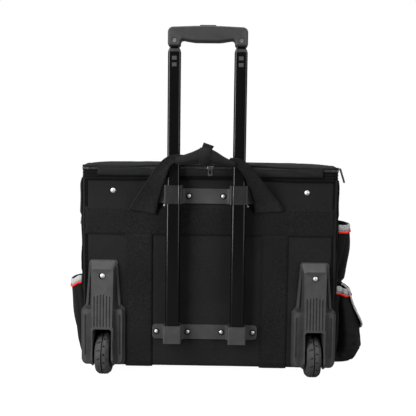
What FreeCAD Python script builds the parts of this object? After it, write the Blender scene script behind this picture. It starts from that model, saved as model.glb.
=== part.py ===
"""Rolling laptop and tool case: a soft box on two corner wheels and two feet, with a telescoping handle.

Frame: +Z up, the case stands on z = 0, the handle and wheels are at the back, towards -Y, and the lid opens
towards the front, +Y. The origin is the bottom centre of the whole case's bounding box.
The shapes are first made in "case coordinates": x = 0 half way between the side panels and y = 0 on the back
panel's outer face. save_all() then shifts them all to the origin.
"""

import FreeCAD
import Part

import math
import os

V = FreeCAD.Vector
X_AXIS = V(1, 0, 0)
Y_AXIS = V(0, 1, 0)
Z_AXIS = V(0, 0, 1)
ORIGIN = V(0, 0, 0)

# ---- driving dimensions, millimetres ----
# soft box
BACK_W = 443.0
SIDE_BULGE = 6.0
BODY_D = 250.0
BASE_Z = 18.0
SEAM_Z = 355.0
WALL_T = 6.0
BOARD_T = 3.0
SLEEVE_FOOT = 158.0
GAP = 0.2
# zip collar, zip and lid
COLLAR_OUT = 3.0
COLLAR_TOP = 370.5
ZIP_T = 2.6
LID_TOP = 383.0
# webbing
WEB_W = 48.0
WEB_T = 1.6
WEB_X = -4.0
WEB_HALF = 119.5
BAND_Z = (254.0, 302.0)
# telescoping handle
HANDLE_X = -6.5
TUBE_HALF = 56.5
TUBE_Y = -15.0
TUBE_WALL = 1.2
OUTER_TUBE = (25.0, 15.0)
MIDDLE_TUBE = (22.2, 12.2)
INNER_TUBE = (17.0, 7.0)
OUTER_R = 5.0
MIDDLE_R = 4.2
INNER_R = 2.4
OUTER_TUBE_Z = (69.0, 341.0)
MIDDLE_TUBE_Z = (288.0, 569.0)
INNER_TUBE_Z = (304.0, 590.5)
PLUG_H = 25.0
ROD_OFFSET = 4.5
GRIP_W = 135.0
GRIP_TOP = 611.0
GRIP_BELLY = 585.5
GRIP_LEG_Z = 578.0
GRIP_LEG_W = 21.5
GRIP_Y = (-27.0, -4.0)
BUTTON_W = 28.0
BUTTON_TOP = 613.5
# brackets
LOWER_BRACKET_Z = 82.0
UPPER_BRACKET_Z = 324.0
PLATE_H = 26.0
PLATE_T = 3.0
EAR_REACH = 92.8
RIVET_INNER = 30.0
RIVET_OUTER = 85.5
BRACKET_RIVET_R = 3.6
GUIDE_RIVET_R = 2.0
PANEL_RIVET_R = 4.3
HOUSING_RIVET_R = 4.6
SHANK_R = 2.2
# wheels and housings
WHEEL_X = 186.5
WHEEL_R = 38.0
WHEEL_W = 25.0
WHEEL_Y = 10.0
AXLE_R = 4.0
BOSS_R = 9.0
RUNNING_GAP = 0.05
SLOT_HALF = 16.5
SLOT_TOP = 88.0
WELL_T = 3.0
WELL_DEPTH = 52.5
HOUSING_HALF = 38.5
HOUSING_TOP = 209.0
HOUSING_DEPTH = 22.0
SHOULDER_DEPTH = 10.0
SHOULDER_TOP = 124.0
HOUSING_RIVET_Z = 182.0
# side and front pockets
POCKET_T = 2.5
SIDE_POCKET_Y = (20.0, 228.0)
DIVIDER_DROP = 6.0
FRONT_POCKET_DEPTH = 40.0
FLAT_POCKET_DEPTH = 24.0
POUCH_HALF = 80.0
POUCH_DEPTH = 14.0
TRIM_T = 0.8
# carry straps
STRAP_HALF = 111.0
STRAP_T = 2.6
REAR_STRAP_FOOT = (0.0, 296.0)
FRONT_STRAP_FOOT = (BODY_D + 1.6, 332.0)
# zip sliders
SIDE_SLIDER_Y = 18.0
SIDE_PULL_TILT = 18.0
REAR_PULL_LENGTH = 15.0
SIDE_PULL_LENGTH = 26.0

made = {}


# ---- shape helpers ----
def box(x, y, z):
    """A box from three (low, high) pairs."""
    return Part.makeBox(x[1] - x[0], y[1] - y[0], z[1] - z[0], V(x[0], y[0], z[0]))


def around(centre, half):
    return (centre - half, centre + half)


def rod(centre, axis, radius, length):
    """A cylinder whose middle is at centre."""
    start = V(*centre) - axis * (length / 2)
    return Part.makeCylinder(radius, length, start, axis)


def outline(points, radii):
    """A closed planar wire through the points, each corner rounded to its radius."""
    corners = [V(*p) for p in points]
    count = len(corners)
    radii = radii if hasattr(radii, "__len__") else [radii] * count
    entries, exits, middles = [], [], []
    for i, corner in enumerate(corners):
        before = (corners[i - 1] - corner).normalize()
        after = (corners[(i + 1) % count] - corner).normalize()
        half = before.getAngle(after) / 2
        reach = radii[i] / math.tan(half) if radii[i] else 0.0
        entries.append(corner + before * reach)
        exits.append(corner + after * reach)
        bisector = (before + after).normalize() if radii[i] else V()
        middles.append(corner + bisector * (radii[i] / math.sin(half) - radii[i]))
    edges = []
    for i in range(count):
        if radii[i]:
            edges.append(Part.Arc(entries[i], middles[i], exits[i]).toShape())
        following = (i + 1) % count
        if (entries[following] - exits[i]).Length > 1e-6:
            edges.append(Part.LineSegment(exits[i], entries[following]).toShape())
    return Part.Wire(Part.__sortEdges__(edges))


def prism(wire, vector):
    return Part.Face(wire).extrude(vector)


def upright_wire(x, y, z, radius):
    points = [(x[0], y[0], z), (x[1], y[0], z), (x[1], y[1], z), (x[0], y[1], z)]
    return outline(points, radius)


def upright(x, y, z, radius):
    """A box with its four vertical edges rounded."""
    return prism(upright_wire(x, y, z[0], radius), V(0, 0, z[1] - z[0]))


def bar(centre_x, centre_y, size, z, radius):
    """An upright rounded bar, given its middle and its (width, depth)."""
    half_w, half_d = size[0] / 2, size[1] / 2
    return upright((centre_x - half_w, centre_x + half_w), (centre_y - half_d, centre_y + half_d), z, radius)


def loft(wires):
    return Part.makeLoft(wires, True, True)


def mirrored(shape, x=0.0):
    return shape.mirror(V(x, 0, 0), X_AXIS)


def both_sides(shape, x=0.0):
    return [shape, mirrored(shape, x)]


def fillet(shape, radius, chosen):
    """Rounds the edges for which chosen(edge) is true."""
    edges = [e for e in shape.Edges if chosen(e)]
    return shape.makeFillet(radius, edges)


def export(name, *shapes):
    """Keeps the shapes as one named node, after checking that each solid is sound."""
    solids = [s for shape in shapes for s in shape.Solids]
    for solid in solids:
        if not solid.isValid() or solid.Volume <= 0:
            raise ValueError(name + " has a bad solid")
    made[name] = solids[0] if len(solids) == 1 else Part.makeCompound(solids)


def save_all():
    """Shifts every node so that the bottom centre of their common box is the origin, and saves it."""
    whole = Part.makeCompound(list(made.values())).BoundBox
    shift = V(-whole.Center.x, -whole.Center.y, -whole.ZMin)
    for name, shape in made.items():
        moved = shape.copy()
        moved.translate(shift)
        moved.exportStep("parts/" + name + ".step")
    return shift


def tube_xs():
    return [HANDLE_X - TUBE_HALF, HANDLE_X + TUBE_HALF]


# ---- soft box ----
def well_cut(margin):
    """The space that both wheel wells, and the axle bosses beside them, take in the panels and boards."""
    half = SLOT_HALF + WELL_T + margin
    well_top = SLOT_TOP + WELL_T + margin
    well = box(around(WHEEL_X, half), (-1, WELL_DEPTH + margin), (0, well_top))
    bosses = box(around(WHEEL_X, half + 8), (-1, WHEEL_Y + BOSS_R + margin), around(WHEEL_R, BOSS_R + margin))
    return Part.makeCompound(both_sides(well.fuse(bosses)))


def rivet_points():
    """(x, z) of every rivet that passes through the back panel, with its head's radius and stand-off."""
    points = []
    for x in (-RIVET_OUTER, -RIVET_INNER, RIVET_INNER, RIVET_OUTER):
        points.append((HANDLE_X + x, LOWER_BRACKET_Z, BRACKET_RIVET_R, PLATE_T))
        points.append((HANDLE_X + x, UPPER_BRACKET_Z, BRACKET_RIVET_R, PLATE_T))
    for side in (-1, 1):
        points.append((HANDLE_X + side * 73.0, UPPER_BRACKET_Z - 17, GUIDE_RIVET_R, 0.0))
        points.append((side * 170.0, UPPER_BRACKET_Z + 8, PANEL_RIVET_R, 0.0))
        points.append((side * WHEEL_X, HOUSING_RIVET_Z, HOUSING_RIVET_R, 12.0))
    return points


def rivet_holes():
    return Part.makeCompound([rod((x, 0, z), Y_AXIS, SHANK_R + 0.1, 60) for x, z, _, _ in rivet_points()])


def make_box_panels():
    half = BACK_W / 2
    back = box((-half, half), (0, WALL_T), (BASE_Z, SEAM_Z))
    export("back_panel", back.cut(well_cut(0.3)).cut(rivet_holes()))
    export("front_panel", box((-half, half), (BODY_D - WALL_T, BODY_D), (BASE_Z, SEAM_Z)))
    base = box((-half, half), (WALL_T + GAP, BODY_D - WALL_T - GAP), (BASE_Z, BASE_Z + WALL_T))
    export("base_panel", base.cut(well_cut(0.3)))
    right = side_panel(half + 0.5, half + 1.0, SIDE_BULGE)
    export("right_panel", right)
    export("left_panel", mirrored(right))
    board = box((-half + 7, half - 7), (WALL_T + GAP, WALL_T + GAP + BOARD_T), (28, SEAM_Z - 10))
    export("back_board", board.cut(well_cut(1.0)).cut(rivet_holes()))
    floor_z = BASE_Z + WALL_T + GAP
    board = box((-half + 7, half - 7), (WALL_T + BOARD_T + 1, BODY_D - 10), (floor_z, floor_z + BOARD_T))
    export("base_board", board.cut(well_cut(1.0)))


def side_panel(inner_x, edge_x, bulge):
    """The right side panel: flat inside, bulging outside."""
    y0, y1 = 4.5, BODY_D - 4.5
    outer = Part.Arc(V(edge_x, y0, BASE_Z), V(edge_x + bulge, (y0 + y1) / 2, BASE_Z), V(edge_x, y1, BASE_Z))
    corners = [V(edge_x, y1, BASE_Z), V(inner_x, y1, BASE_Z), V(inner_x, y0, BASE_Z), V(edge_x, y0, BASE_Z)]
    straight = [Part.LineSegment(corners[i], corners[i + 1]).toShape() for i in range(3)]
    return prism(Part.Wire([outer.toShape()] + straight), V(0, 0, SEAM_Z - BASE_Z))


def make_trim():
    """Piping down the four upright corners, and the webbing sewn round the box."""
    x = BACK_W / 2 + 2.4
    low = SHOULDER_TOP + 6
    rear = rod((x, 1.6, (low + SEAM_Z) / 2), Z_AXIS, 2.2, SEAM_Z - low)
    front = rod((x, BODY_D - 1.6, (BASE_Z + SEAM_Z) / 2), Z_AXIS, 2.2, SEAM_Z - BASE_Z)
    export("corner_piping", *both_sides(rear), *both_sides(front))
    export("rear_webbing_band", box((-BACK_W / 2 + 3, BACK_W / 2 - 3), (-WEB_T, 0), BAND_Z))
    loops = []
    for side in (-1, 1):
        x = WEB_X + side * WEB_HALF
        span = (x - WEB_W / 2, x + WEB_W / 2)
        outer = box(span, (-WEB_T, BODY_D + WEB_T), (BASE_Z - WEB_T, COLLAR_TOP + 3))
        inner = box(span, (0, BODY_D), (BASE_Z, 500))
        back_top = box(span, (-50, 50), (BAND_Z[0], 500))
        loops.append(outer.cut(inner).cut(back_top))
    export("wrap_webbing", *loops)


def make_sleeve():
    """The padded laptop divider that stands inside, in front of the back board."""
    half = BACK_W / 2 - 3
    pad = upright((-half, half), (46, 53), (100, 318), 3)
    foot = box((-SLEEVE_FOOT, SLEEVE_FOOT), (46, 53), (BASE_Z + WALL_T + GAP + BOARD_T + GAP, 100))
    export("laptop_sleeve", pad.fuse(foot).removeSplitter())


# ---- zip collar, zip and lid ----
def ring(x_half, y, inset, z, radius):
    outer = upright((-x_half, x_half), y, z, radius)
    inner_z = (z[0] - 1, z[1] + 1)
    inner = upright((-x_half + inset, x_half - inset), (y[0] + inset, y[1] - inset), inner_z, radius - inset)
    return outer.cut(inner)


def lid_half_width():
    return BACK_W / 2 + 3.5


def make_collar_and_lid():
    half = lid_half_width()
    depth = (-COLLAR_OUT, BODY_D)
    export("zip_collar", ring(half, depth, 8.0, (SEAM_Z + GAP, COLLAR_TOP), 14))
    behind_hinge = box((-300, 300), (-50, BODY_D - 22), (300, 420))
    track_y = (depth[0] + 1.5, depth[1] - 1.5)
    low = COLLAR_TOP + GAP
    lower = ring(half - 1.5, track_y, 5.0, (low, low + ZIP_T), 12.5).common(behind_hinge)
    export("lower_zip_track", lower)
    low += ZIP_T + GAP
    upper = ring(half - 1.5, track_y, 5.0, (low, low + ZIP_T), 12.5).common(behind_hinge)
    export("upper_zip_track", upper)
    low += ZIP_T + GAP
    export("lid_panel", dome(half, depth, low))


def dome(half, depth, low):
    """The padded lid: rounded rectangles that shrink as they rise."""
    wires = []
    for inset, height in ((0, 0), (0, 0.38), (3, 0.52), (40, 0.84), (90, 1.0)):
        x = (-half + inset, half - inset)
        y = (depth[0] + inset, depth[1] - inset)
        wires.append(upright_wire(x, y, low + height * (LID_TOP - low), 14))
    return loft(wires)


# ---- wheels and their housings ----
def flange_outline(inset):
    """(u, z, corner radius) round the flange, u being the distance from the wheel's centre plane."""
    half = HOUSING_HALF - inset
    right = [
        (half, 20 + inset, 9),
        (half, SHOULDER_TOP - 3 - inset / 2, 3),
        (31 - inset, SHOULDER_TOP + 6 - inset / 2, 5),
        (28 - inset, 165, 20),
        (25 - inset, HOUSING_TOP - inset, 6),
    ]
    return right + [(-u, z, r) for u, z, r in reversed(right)]


def spine_outline(inset):
    """(u, z, corner radius) round the raised spine that runs down the housing's middle."""
    right = [
        (24 - inset, 20 + inset, 3),
        (21.5 - inset, 80, 20),
        (23.5 - inset, HOUSING_TOP - 1.5 - inset, 5),
    ]
    return right + [(-u, z, r) for u, z, r in reversed(right)]


def wheel_wire(points, plane):
    """The (u, z, radius) points as a wire, with y given as a function of z."""
    return outline([(WHEEL_X + u, plane(z), z) for u, z, _ in points], [r for _, _, r in points])


def face_plane(offset):
    """The spine's face leans out towards the wheel."""
    return lambda z: -HOUSING_DEPTH + offset + (z - 20) * 0.045


def spine(inset, back, face):
    """The tapered block between the flange and the spine's face."""
    narrowed = [(u, min(z, HOUSING_TOP - 15 - inset), r) for u, z, r in spine_outline(inset + 4)]
    return loft([wheel_wire(spine_outline(inset), lambda z: back), wheel_wire(narrowed, face_plane(face))])


def shoulder(inset, back, face):
    """The lower block that stands out on both sides of the wheel."""
    half = HOUSING_HALF - 1.5 - inset
    def wire(margin, y):
        edge = half - margin
        points = [(edge, 21.5 + inset + margin, 8), (edge, SHOULDER_TOP - inset - margin, 4)]
        points += [(-u, z, r) for u, z, r in reversed(points)]
        return wheel_wire(points, lambda z: y)
    return loft([wire(0, back), wire(3, face)])


def side_lips():
    """A raised lip down each side of the flange, from its top to the shoulder."""
    lips = []
    for side in (-1, 1):
        low = SHOULDER_TOP + 4
        points = [(side * 30.0, low, 0), (side * 27.0, 165, 0), (side * 24.2, 203, 0), (side * 21.7, 203, 0),
                  (side * 24.0, 165, 0), (side * 26.5, low, 0)]
        lips.append(prism(wheel_wire(points, lambda z: -2.4), V(0, -3.1, 0)))
    return lips


def make_housing():
    shell = prism(wheel_wire(flange_outline(0), lambda z: 0.0), V(0, -2.5, 0))
    for piece in [shoulder(0, -2.4, -SHOULDER_DEPTH), spine(0, -2.3, 0.0)] + side_lips():
        shell = shell.fuse(piece)
    spine_hollow = spine(3.0, 0.1, 2.6).common(box(around(WHEEL_X, 30), (-60, 1), (SLOT_TOP, HOUSING_TOP)))
    shell = shell.cut(shoulder(3.0, 0.1, 3.0 - SHOULDER_DEPTH)).cut(spine_hollow)
    frame_half = SLOT_HALF + WELL_T
    frame = box(around(WHEEL_X, frame_half), (-HOUSING_DEPTH + 3, WELL_DEPTH), (20, SLOT_TOP + WELL_T))
    wrap_x = (BACK_W / 2 + 2.3, WHEEL_X + HOUSING_HALF + 1.0)
    wrap = upright(wrap_x, (-2.5, 11), (28, SHOULDER_TOP - 6), 0.9)
    boss = rod((WHEEL_X, WHEEL_Y, WHEEL_R), X_AXIS, BOSS_R, 2 * frame_half + 4)
    shell = shell.fuse(frame).fuse(wrap).fuse(boss)
    slot = box(around(WHEEL_X, SLOT_HALF), (-60, WELL_DEPTH - WELL_T), (0, SLOT_TOP))
    slot = fillet(slot, 5, slot_top_edge)
    shell = shell.cut(slot).cut(foot_slope())
    shell = shell.cut(rod((WHEEL_X, WHEEL_Y, WHEEL_R), X_AXIS, AXLE_R + RUNNING_GAP, 80))
    face_y = face_plane(0)(HOUSING_RIVET_Z)
    shell = shell.fuse(rod((WHEEL_X, face_y / 2, HOUSING_RIVET_Z), Y_AXIS, 7.5, -face_y - 0.2))
    shell = shell.cut(rod((WHEEL_X, -20, HOUSING_RIVET_Z), Y_AXIS, 6.2, 16))
    shell = shell.cut(rod((WHEEL_X, 0, HOUSING_RIVET_Z), Y_AXIS, SHANK_R + 0.1, 60))
    for groove in housing_grooves():
        shell = shell.cut(groove)
    return shell.removeSplitter()


def slot_top_edge(edge):
    """The slot's two long top corners, which run along Y."""
    return edge.BoundBox.YLength > 60 and edge.BoundBox.ZMin > SLOT_TOP - 1


def foot_slope():
    """The wedge cut from the spine's lower end, so that the slot's cheeks rise towards their front edges."""
    left = WHEEL_X - HOUSING_HALF - 2
    points = [(left, -SHOULDER_DEPTH, 10), (left, -SHOULDER_DEPTH, 20.5), (left, -HOUSING_DEPTH - 2, 36),
              (left, -HOUSING_DEPTH - 2, 10)]
    return prism(outline(points, 0), V(2 * HOUSING_HALF + 4, 0, 0))


def housing_grooves():
    """Upright grooves: six in the spine's face above the wheel, and one in each side of the shoulder."""
    grooves = []
    for i in range(6):
        off = i - 2.5
        grooves.append(groove(off * 5.4, (SLOT_TOP + 4, 150 - 1.5 * abs(off)), 1.2, face_plane(-1), 2.2))
    for side in (-1, 1):
        grooves.append(groove(side * 30.5, (40, SHOULDER_TOP - 12), 1.4, lambda z: -SHOULDER_DEPTH - 1, 2.3))
    return grooves


def groove(u, z, half, plane, depth):
    points = [(u - half, z[0], half - 0.1), (u + half, z[0], half - 0.1), (u + half, z[1], half - 0.1),
              (u - half, z[1], half - 0.1)]
    return prism(wheel_wire(points, plane), V(0, depth, 0))


def make_tyre():
    """A tyre turning about X, with a crowned tread cut into lugs."""
    half = WHEEL_W / 2
    inner, shoulder = 24.0, 33.5
    points = [
        (-half + 3, 0, inner), (half - 3, 0, inner), (half, 0, 27), (half, 0, shoulder),
        (half - 5, 0, WHEEL_R - 0.6), (0, 0, WHEEL_R), (-half + 5, 0, WHEEL_R - 0.6), (-half, 0, shoulder),
        (-half, 0, 27),
    ]
    wire = outline(points, [1, 1, 2, 2, 4, 0, 4, 2, 2])
    tyre = Part.Face(wire).revolve(ORIGIN, X_AXIS, 360)
    cuts = []
    lugs = 16
    for i in range(lugs):
        for side in (-1, 1):
            groove = box((0, 14), (-1.7, 1.7), (WHEEL_R - 3.0, WHEEL_R + 3))
            groove.rotate(ORIGIN, Z_AXIS, -24)
            groove.translate(V(2.4, 0, 0))
            if side < 0:
                groove = mirrored(groove)
            turn = (i + (0.5 if side < 0 else 0)) * 360 / lugs
            groove.rotate(ORIGIN, X_AXIS, turn)
            cuts.append(groove)
    channel = rod((0, 0, 0), X_AXIS, WHEEL_R + 2, 2.6).cut(rod((0, 0, 0), X_AXIS, WHEEL_R - 2.2, 4))
    return tyre.cut(Part.makeCompound(cuts)).cut(channel)


def make_hub():
    """The plastic wheel centre: rim, web with five openings, and a hub with its bore."""
    rim = rod((0, 0, 0), X_AXIS, 24 - GAP / 2, WHEEL_W - 8).cut(rod((0, 0, 0), X_AXIS, 20.5, WHEEL_W))
    web = rod((0, 0, 0), X_AXIS, 21, 6)
    for i in range(5):
        hole = rod((0, 0, 14.5), X_AXIS, 3.6, 20)
        hole.rotate(ORIGIN, X_AXIS, i * 72)
        web = web.cut(hole)
    core = rod((0, 0, 0), X_AXIS, 8.5, 2 * SLOT_HALF - 1)
    hub = rim.fuse(web).fuse(core)
    return hub.cut(rod((0, 0, 0), X_AXIS, AXLE_R + RUNNING_GAP, 80)).removeSplitter()


def make_axle():
    """A shoulder bolt across the wheel well, with its head and nut outside the well's walls."""
    wall = SLOT_HALF + WELL_T + 2
    shank = rod((0, 0, 0), X_AXIS, AXLE_R, 2 * wall + 8)
    head = rod((-wall - 2.2, 0, 0), X_AXIS, 6.5, 4)
    turns = [i * math.pi / 3 for i in range(6)]
    nut_points = [(wall + 0.2, 6.6 * math.cos(a), 6.6 * math.sin(a)) for a in turns]
    nut = prism(outline(nut_points, 0), V(5, 0, 0))
    return shank.fuse(head).fuse(nut).removeSplitter()


def make_wheels():
    housing = make_housing()
    export("right_wheel_housing", housing)
    export("left_wheel_housing", mirrored(housing))
    centre = V(WHEEL_X, WHEEL_Y, WHEEL_R)
    axle, tyre, hub = make_axle(), make_tyre(), make_hub()
    for shape in (axle, tyre, hub):
        shape.translate(centre)
    export("wheel_axles", *both_sides(axle))
    export("right_tyre", tyre)
    export("right_hub", hub)
    export("left_tyre", mirrored(tyre))
    export("left_hub", mirrored(hub))


def make_feet():
    """Two moulded front feet, tapering to their resting faces."""
    feet = []
    for side in (-1, 1):
        x = side * 179.5
        wide = upright_wire((x - 30, x + 30), (190, 236), BASE_Z - 0.1, 10)
        narrow = upright_wire((x - 25, x + 25), (195, 231), 0, 8)
        feet.append(loft([narrow, wide]))
    export("front_feet", *feet)


# ---- telescoping handle ----
def tube(x, size, z, radius):
    inside = (size[0] - 2 * TUBE_WALL, size[1] - 2 * TUBE_WALL)
    outer = bar(x, TUBE_Y, size, z, radius)
    return outer.cut(bar(x, TUBE_Y, inside, (z[0] - 1, z[1] + 1), radius - TUBE_WALL))


def make_brackets():
    plate_y = (-PLATE_T, 0)
    for name, z in (("lower_bracket", LOWER_BRACKET_Z), ("upper_bracket", UPPER_BRACKET_Z)):
        low, high = z - PLATE_H / 2, z + PLATE_H / 2
        plate = box((HANDLE_X - EAR_REACH, HANDLE_X + EAR_REACH), plate_y, (low, high))
        plate = fillet(plate, 6, lambda e: e.BoundBox.YLength > 2.5 and e.BoundBox.XLength < 0.01)
        bracket = plate
        for x in tube_xs():
            bracket = bracket.fuse(socket(x, z, name))
        for x in tube_xs():
            bore = (OUTER_TUBE[0] + 2 * GAP, OUTER_TUBE[1] + 2 * GAP)
            reach = (OUTER_TUBE_Z[0] - GAP, OUTER_TUBE_Z[1] + GAP)
            bracket = bracket.cut(bar(x, TUBE_Y, bore, reach, OUTER_R + GAP))
        bracket = bracket.cut(rivet_holes())
        export(name, bracket.removeSplitter())


def socket(x, z, name):
    """The block around one tube. The lower one is closed below; the upper one guides the middle tube."""
    half_w = OUTER_TUBE[0] / 2 + 3.2
    front = TUBE_Y - OUTER_TUBE[1] / 2 - 2.6
    if name == "lower_bracket":
        span = (z - 16, z + 15)
    else:
        span = (z - 13, z + 19)
    block = box((x - half_w, x + half_w), (front, -0.5), span)
    block = fillet(block, 3, lambda e: e.BoundBox.ZLength > 20 and e.BoundBox.YMin < front + 1)
    if name == "upper_bracket":
        passage = (MIDDLE_TUBE[0] + 2 * GAP, MIDDLE_TUBE[1] + 2 * GAP)
        block = block.cut(bar(x, TUBE_Y, passage, (span[0] - 1, span[1] + 1), MIDDLE_R + GAP))
    foot_z = (z - PLATE_H / 2, z + PLATE_H / 2)
    foot = box((x - half_w - 4, x + half_w + 4), (-7, 0), foot_z)
    foot = foot.makeChamfer(3.9, [e for e in foot.Edges if e.BoundBox.ZLength > 20 and e.BoundBox.YMax < -6])
    return block.fuse(foot)


def make_rivets():
    """Domed pop rivets, each with the small hole that its mandrel leaves."""
    rivets = []
    for x, z, radius, stand_off in rivet_points():
        shank = rod((x, (9.6 - stand_off) / 2, z), Y_AXIS, min(SHANK_R, radius - 0.4), 9.6 + stand_off)
        ball = Part.makeSphere(radius * 1.45, V(x, -stand_off - GAP / 2 + radius, z))
        slab = rod((x, -stand_off - GAP / 2 - 1.5, z), Y_AXIS, radius, 3)
        head = ball.common(slab)
        tail = rod((x, 10.4, z), Y_AXIS, 3.4, 1.6)
        body = shank.fuse(head).fuse(tail)
        body = body.cut(rod((x, -stand_off - 4, z), Y_AXIS, 1.0, 6))
        rivets.append(body.removeSplitter())
    export("rivets", *rivets)


def make_tubes():
    export("outer_tubes", *[tube(x, OUTER_TUBE, OUTER_TUBE_Z, OUTER_R) for x in tube_xs()])
    middle, collars, glides, lower_pins = [], [], [], []
    inner, plugs, upper_pins = [], [], []
    for x in tube_xs():
        piece = tube(x, MIDDLE_TUBE, MIDDLE_TUBE_Z, MIDDLE_R)
        top = MIDDLE_TUBE_Z[1]
        for z in (top - 10.5, top - 21.5):
            piece = piece.cut(box((x - 4.2, x + 4.2), (TUBE_Y - 9, TUBE_Y - 4), (z - 3.4, z + 3.4)))
        middle.append(piece)
        collars.append(collar(x, top))
        glides.append(glide(x))
        plugs.append(plug(x))
        inner.append(tube(x, INNER_TUBE, INNER_TUBE_Z, INNER_R))
        low = MIDDLE_TUBE_Z[0]
        lower_pins.append(lock_pin(x, low - 7, OUTER_TUBE[1] / 2 - TUBE_WALL))
        upper_pins.append(lock_pin(x, INNER_TUBE_Z[0] - 6, MIDDLE_TUBE[1] / 2 - TUBE_WALL))
    export("middle_tubes", *middle)
    export("middle_tube_collars", *collars)
    export("middle_tube_glides", *glides)
    export("lower_lock_pins", *lower_pins)
    export("inner_tubes", *[t.cut(screw_holes()) for t in inner])
    export("inner_tube_plugs", *plugs)
    export("upper_lock_pins", *upper_pins)


def collar(x, top):
    """The bush in the middle tube's mouth, with two snap tabs that show in the tube's windows."""
    inside = (MIDDLE_TUBE[0] - 2 * TUBE_WALL - GAP, MIDDLE_TUBE[1] - 2 * TUBE_WALL - GAP)
    skirt = bar(x, TUBE_Y, inside, (top - PLUG_H, top + 5), MIDDLE_R - TUBE_WALL - GAP / 2)
    lip = bar(x, TUBE_Y, (MIDDLE_TUBE[0] - 1, MIDDLE_TUBE[1] - 1), (top + GAP / 2, top + 2.2), 2.6)
    body = skirt.fuse(lip)
    tab_y = (TUBE_Y - MIDDLE_TUBE[1] / 2 + 0.3, TUBE_Y - 4)
    for z in (top - 10.5, top - 21.5):
        body = body.fuse(box((x - 4, x + 4), tab_y, (z - 3.2, z + 3.2)))
    return body.cut(inner_passage(x, (top - 60, top + 20))).removeSplitter()


def inner_passage(x, z):
    """The hole that the inner tube stands or slides in."""
    return bar(x, TUBE_Y, (INNER_TUBE[0] + 0.3, INNER_TUBE[1] + 0.3), z, INNER_R + 0.1)


def glide(x):
    """The plug under the middle tube that slides in the outer tube and carries a lock pin."""
    low = MIDDLE_TUBE_Z[0]
    inside = (MIDDLE_TUBE[0] - 2 * TUBE_WALL - GAP, MIDDLE_TUBE[1] - 2 * TUBE_WALL - GAP)
    body = bar(x, TUBE_Y, MIDDLE_TUBE, (low - 14, low - GAP / 2), MIDDLE_R)
    body = body.fuse(bar(x, TUBE_Y, inside, (low - 1, low + 4), MIDDLE_R - TUBE_WALL - GAP / 2))
    body = body.cut(rod((x, TUBE_Y - 4, low - 7), Y_AXIS, 2.3, 16))
    return body.removeSplitter()


def plug(x):
    """The plug under the inner tube that slides in the middle tube and carries a lock pin."""
    low = INNER_TUBE_Z[0]
    slide = (MIDDLE_TUBE[0] - 2 * TUBE_WALL - 2 * GAP, MIDDLE_TUBE[1] - 2 * TUBE_WALL - 2 * GAP)
    inside = (INNER_TUBE[0] - 2 * TUBE_WALL - GAP, INNER_TUBE[1] - 2 * TUBE_WALL - GAP)
    body = bar(x, TUBE_Y, slide, (low - 11, low + 12), MIDDLE_R - TUBE_WALL - GAP)
    body = body.cut(inner_passage(x, (low, low + 13)))
    body = body.fuse(bar(x, TUBE_Y, inside, (low - 1, low + 20), INNER_R - TUBE_WALL - GAP / 2))
    body = body.cut(rod((rod_x(x), TUBE_Y, low + 11), Z_AXIS, 1.8, 20))
    body = body.cut(rod((x, TUBE_Y - 3.5, low - 6), Y_AXIS, 2.3, 15))
    return body.removeSplitter()


def lock_pin(x, z, reach):
    """A spring-loaded pin. Its tip stops just short of the wall of the tube around it."""
    tip = TUBE_Y - reach + 0.35
    pin = rod((x, tip + 2.75, z), Y_AXIS, 2.0, 5.5)
    return fillet(pin, 0.8, lambda e: e.BoundBox.YLength < 0.01 and e.BoundBox.YMin < tip + 0.1)


def rod_x(tube_x):
    """The push rod stands beside the tube's middle, towards the handle's centre, to clear the grip screw."""
    return tube_x + ROD_OFFSET if tube_x < HANDLE_X else tube_x - ROD_OFFSET


def screw_holes():
    z = GRIP_LEG_Z + 9
    return Part.makeCompound([rod((x, TUBE_Y, z), Y_AXIS, 2.2, 60) for x in tube_xs()])


def grip_block():
    """The whole grip before it is split: two legs, a bar with a belly below, and rounded edges."""
    half, leg = GRIP_W / 2, GRIP_LEG_W
    shoulder, belly_end = GRIP_TOP - 2, GRIP_BELLY + 4
    corners = [
        (half, GRIP_LEG_Z, 4), (half, shoulder, 9), (20, GRIP_TOP, 60),
        (-20, GRIP_TOP, 60), (-half, shoulder, 9), (-half, GRIP_LEG_Z, 4),
        (-half + leg, GRIP_LEG_Z, 4), (-half + leg, belly_end, 5), (-22, GRIP_BELLY, 70),
        (22, GRIP_BELLY, 70), (half - leg, belly_end, 5), (half - leg, GRIP_LEG_Z, 4),
    ]
    wire = outline([(HANDLE_X + x, GRIP_Y[0], z) for x, z, _ in corners], [r for _, _, r in corners])
    block = prism(wire, V(0, GRIP_Y[1] - GRIP_Y[0], 0))
    return fillet(block, 3, lambda e: e.BoundBox.YLength < 0.01)


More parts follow.
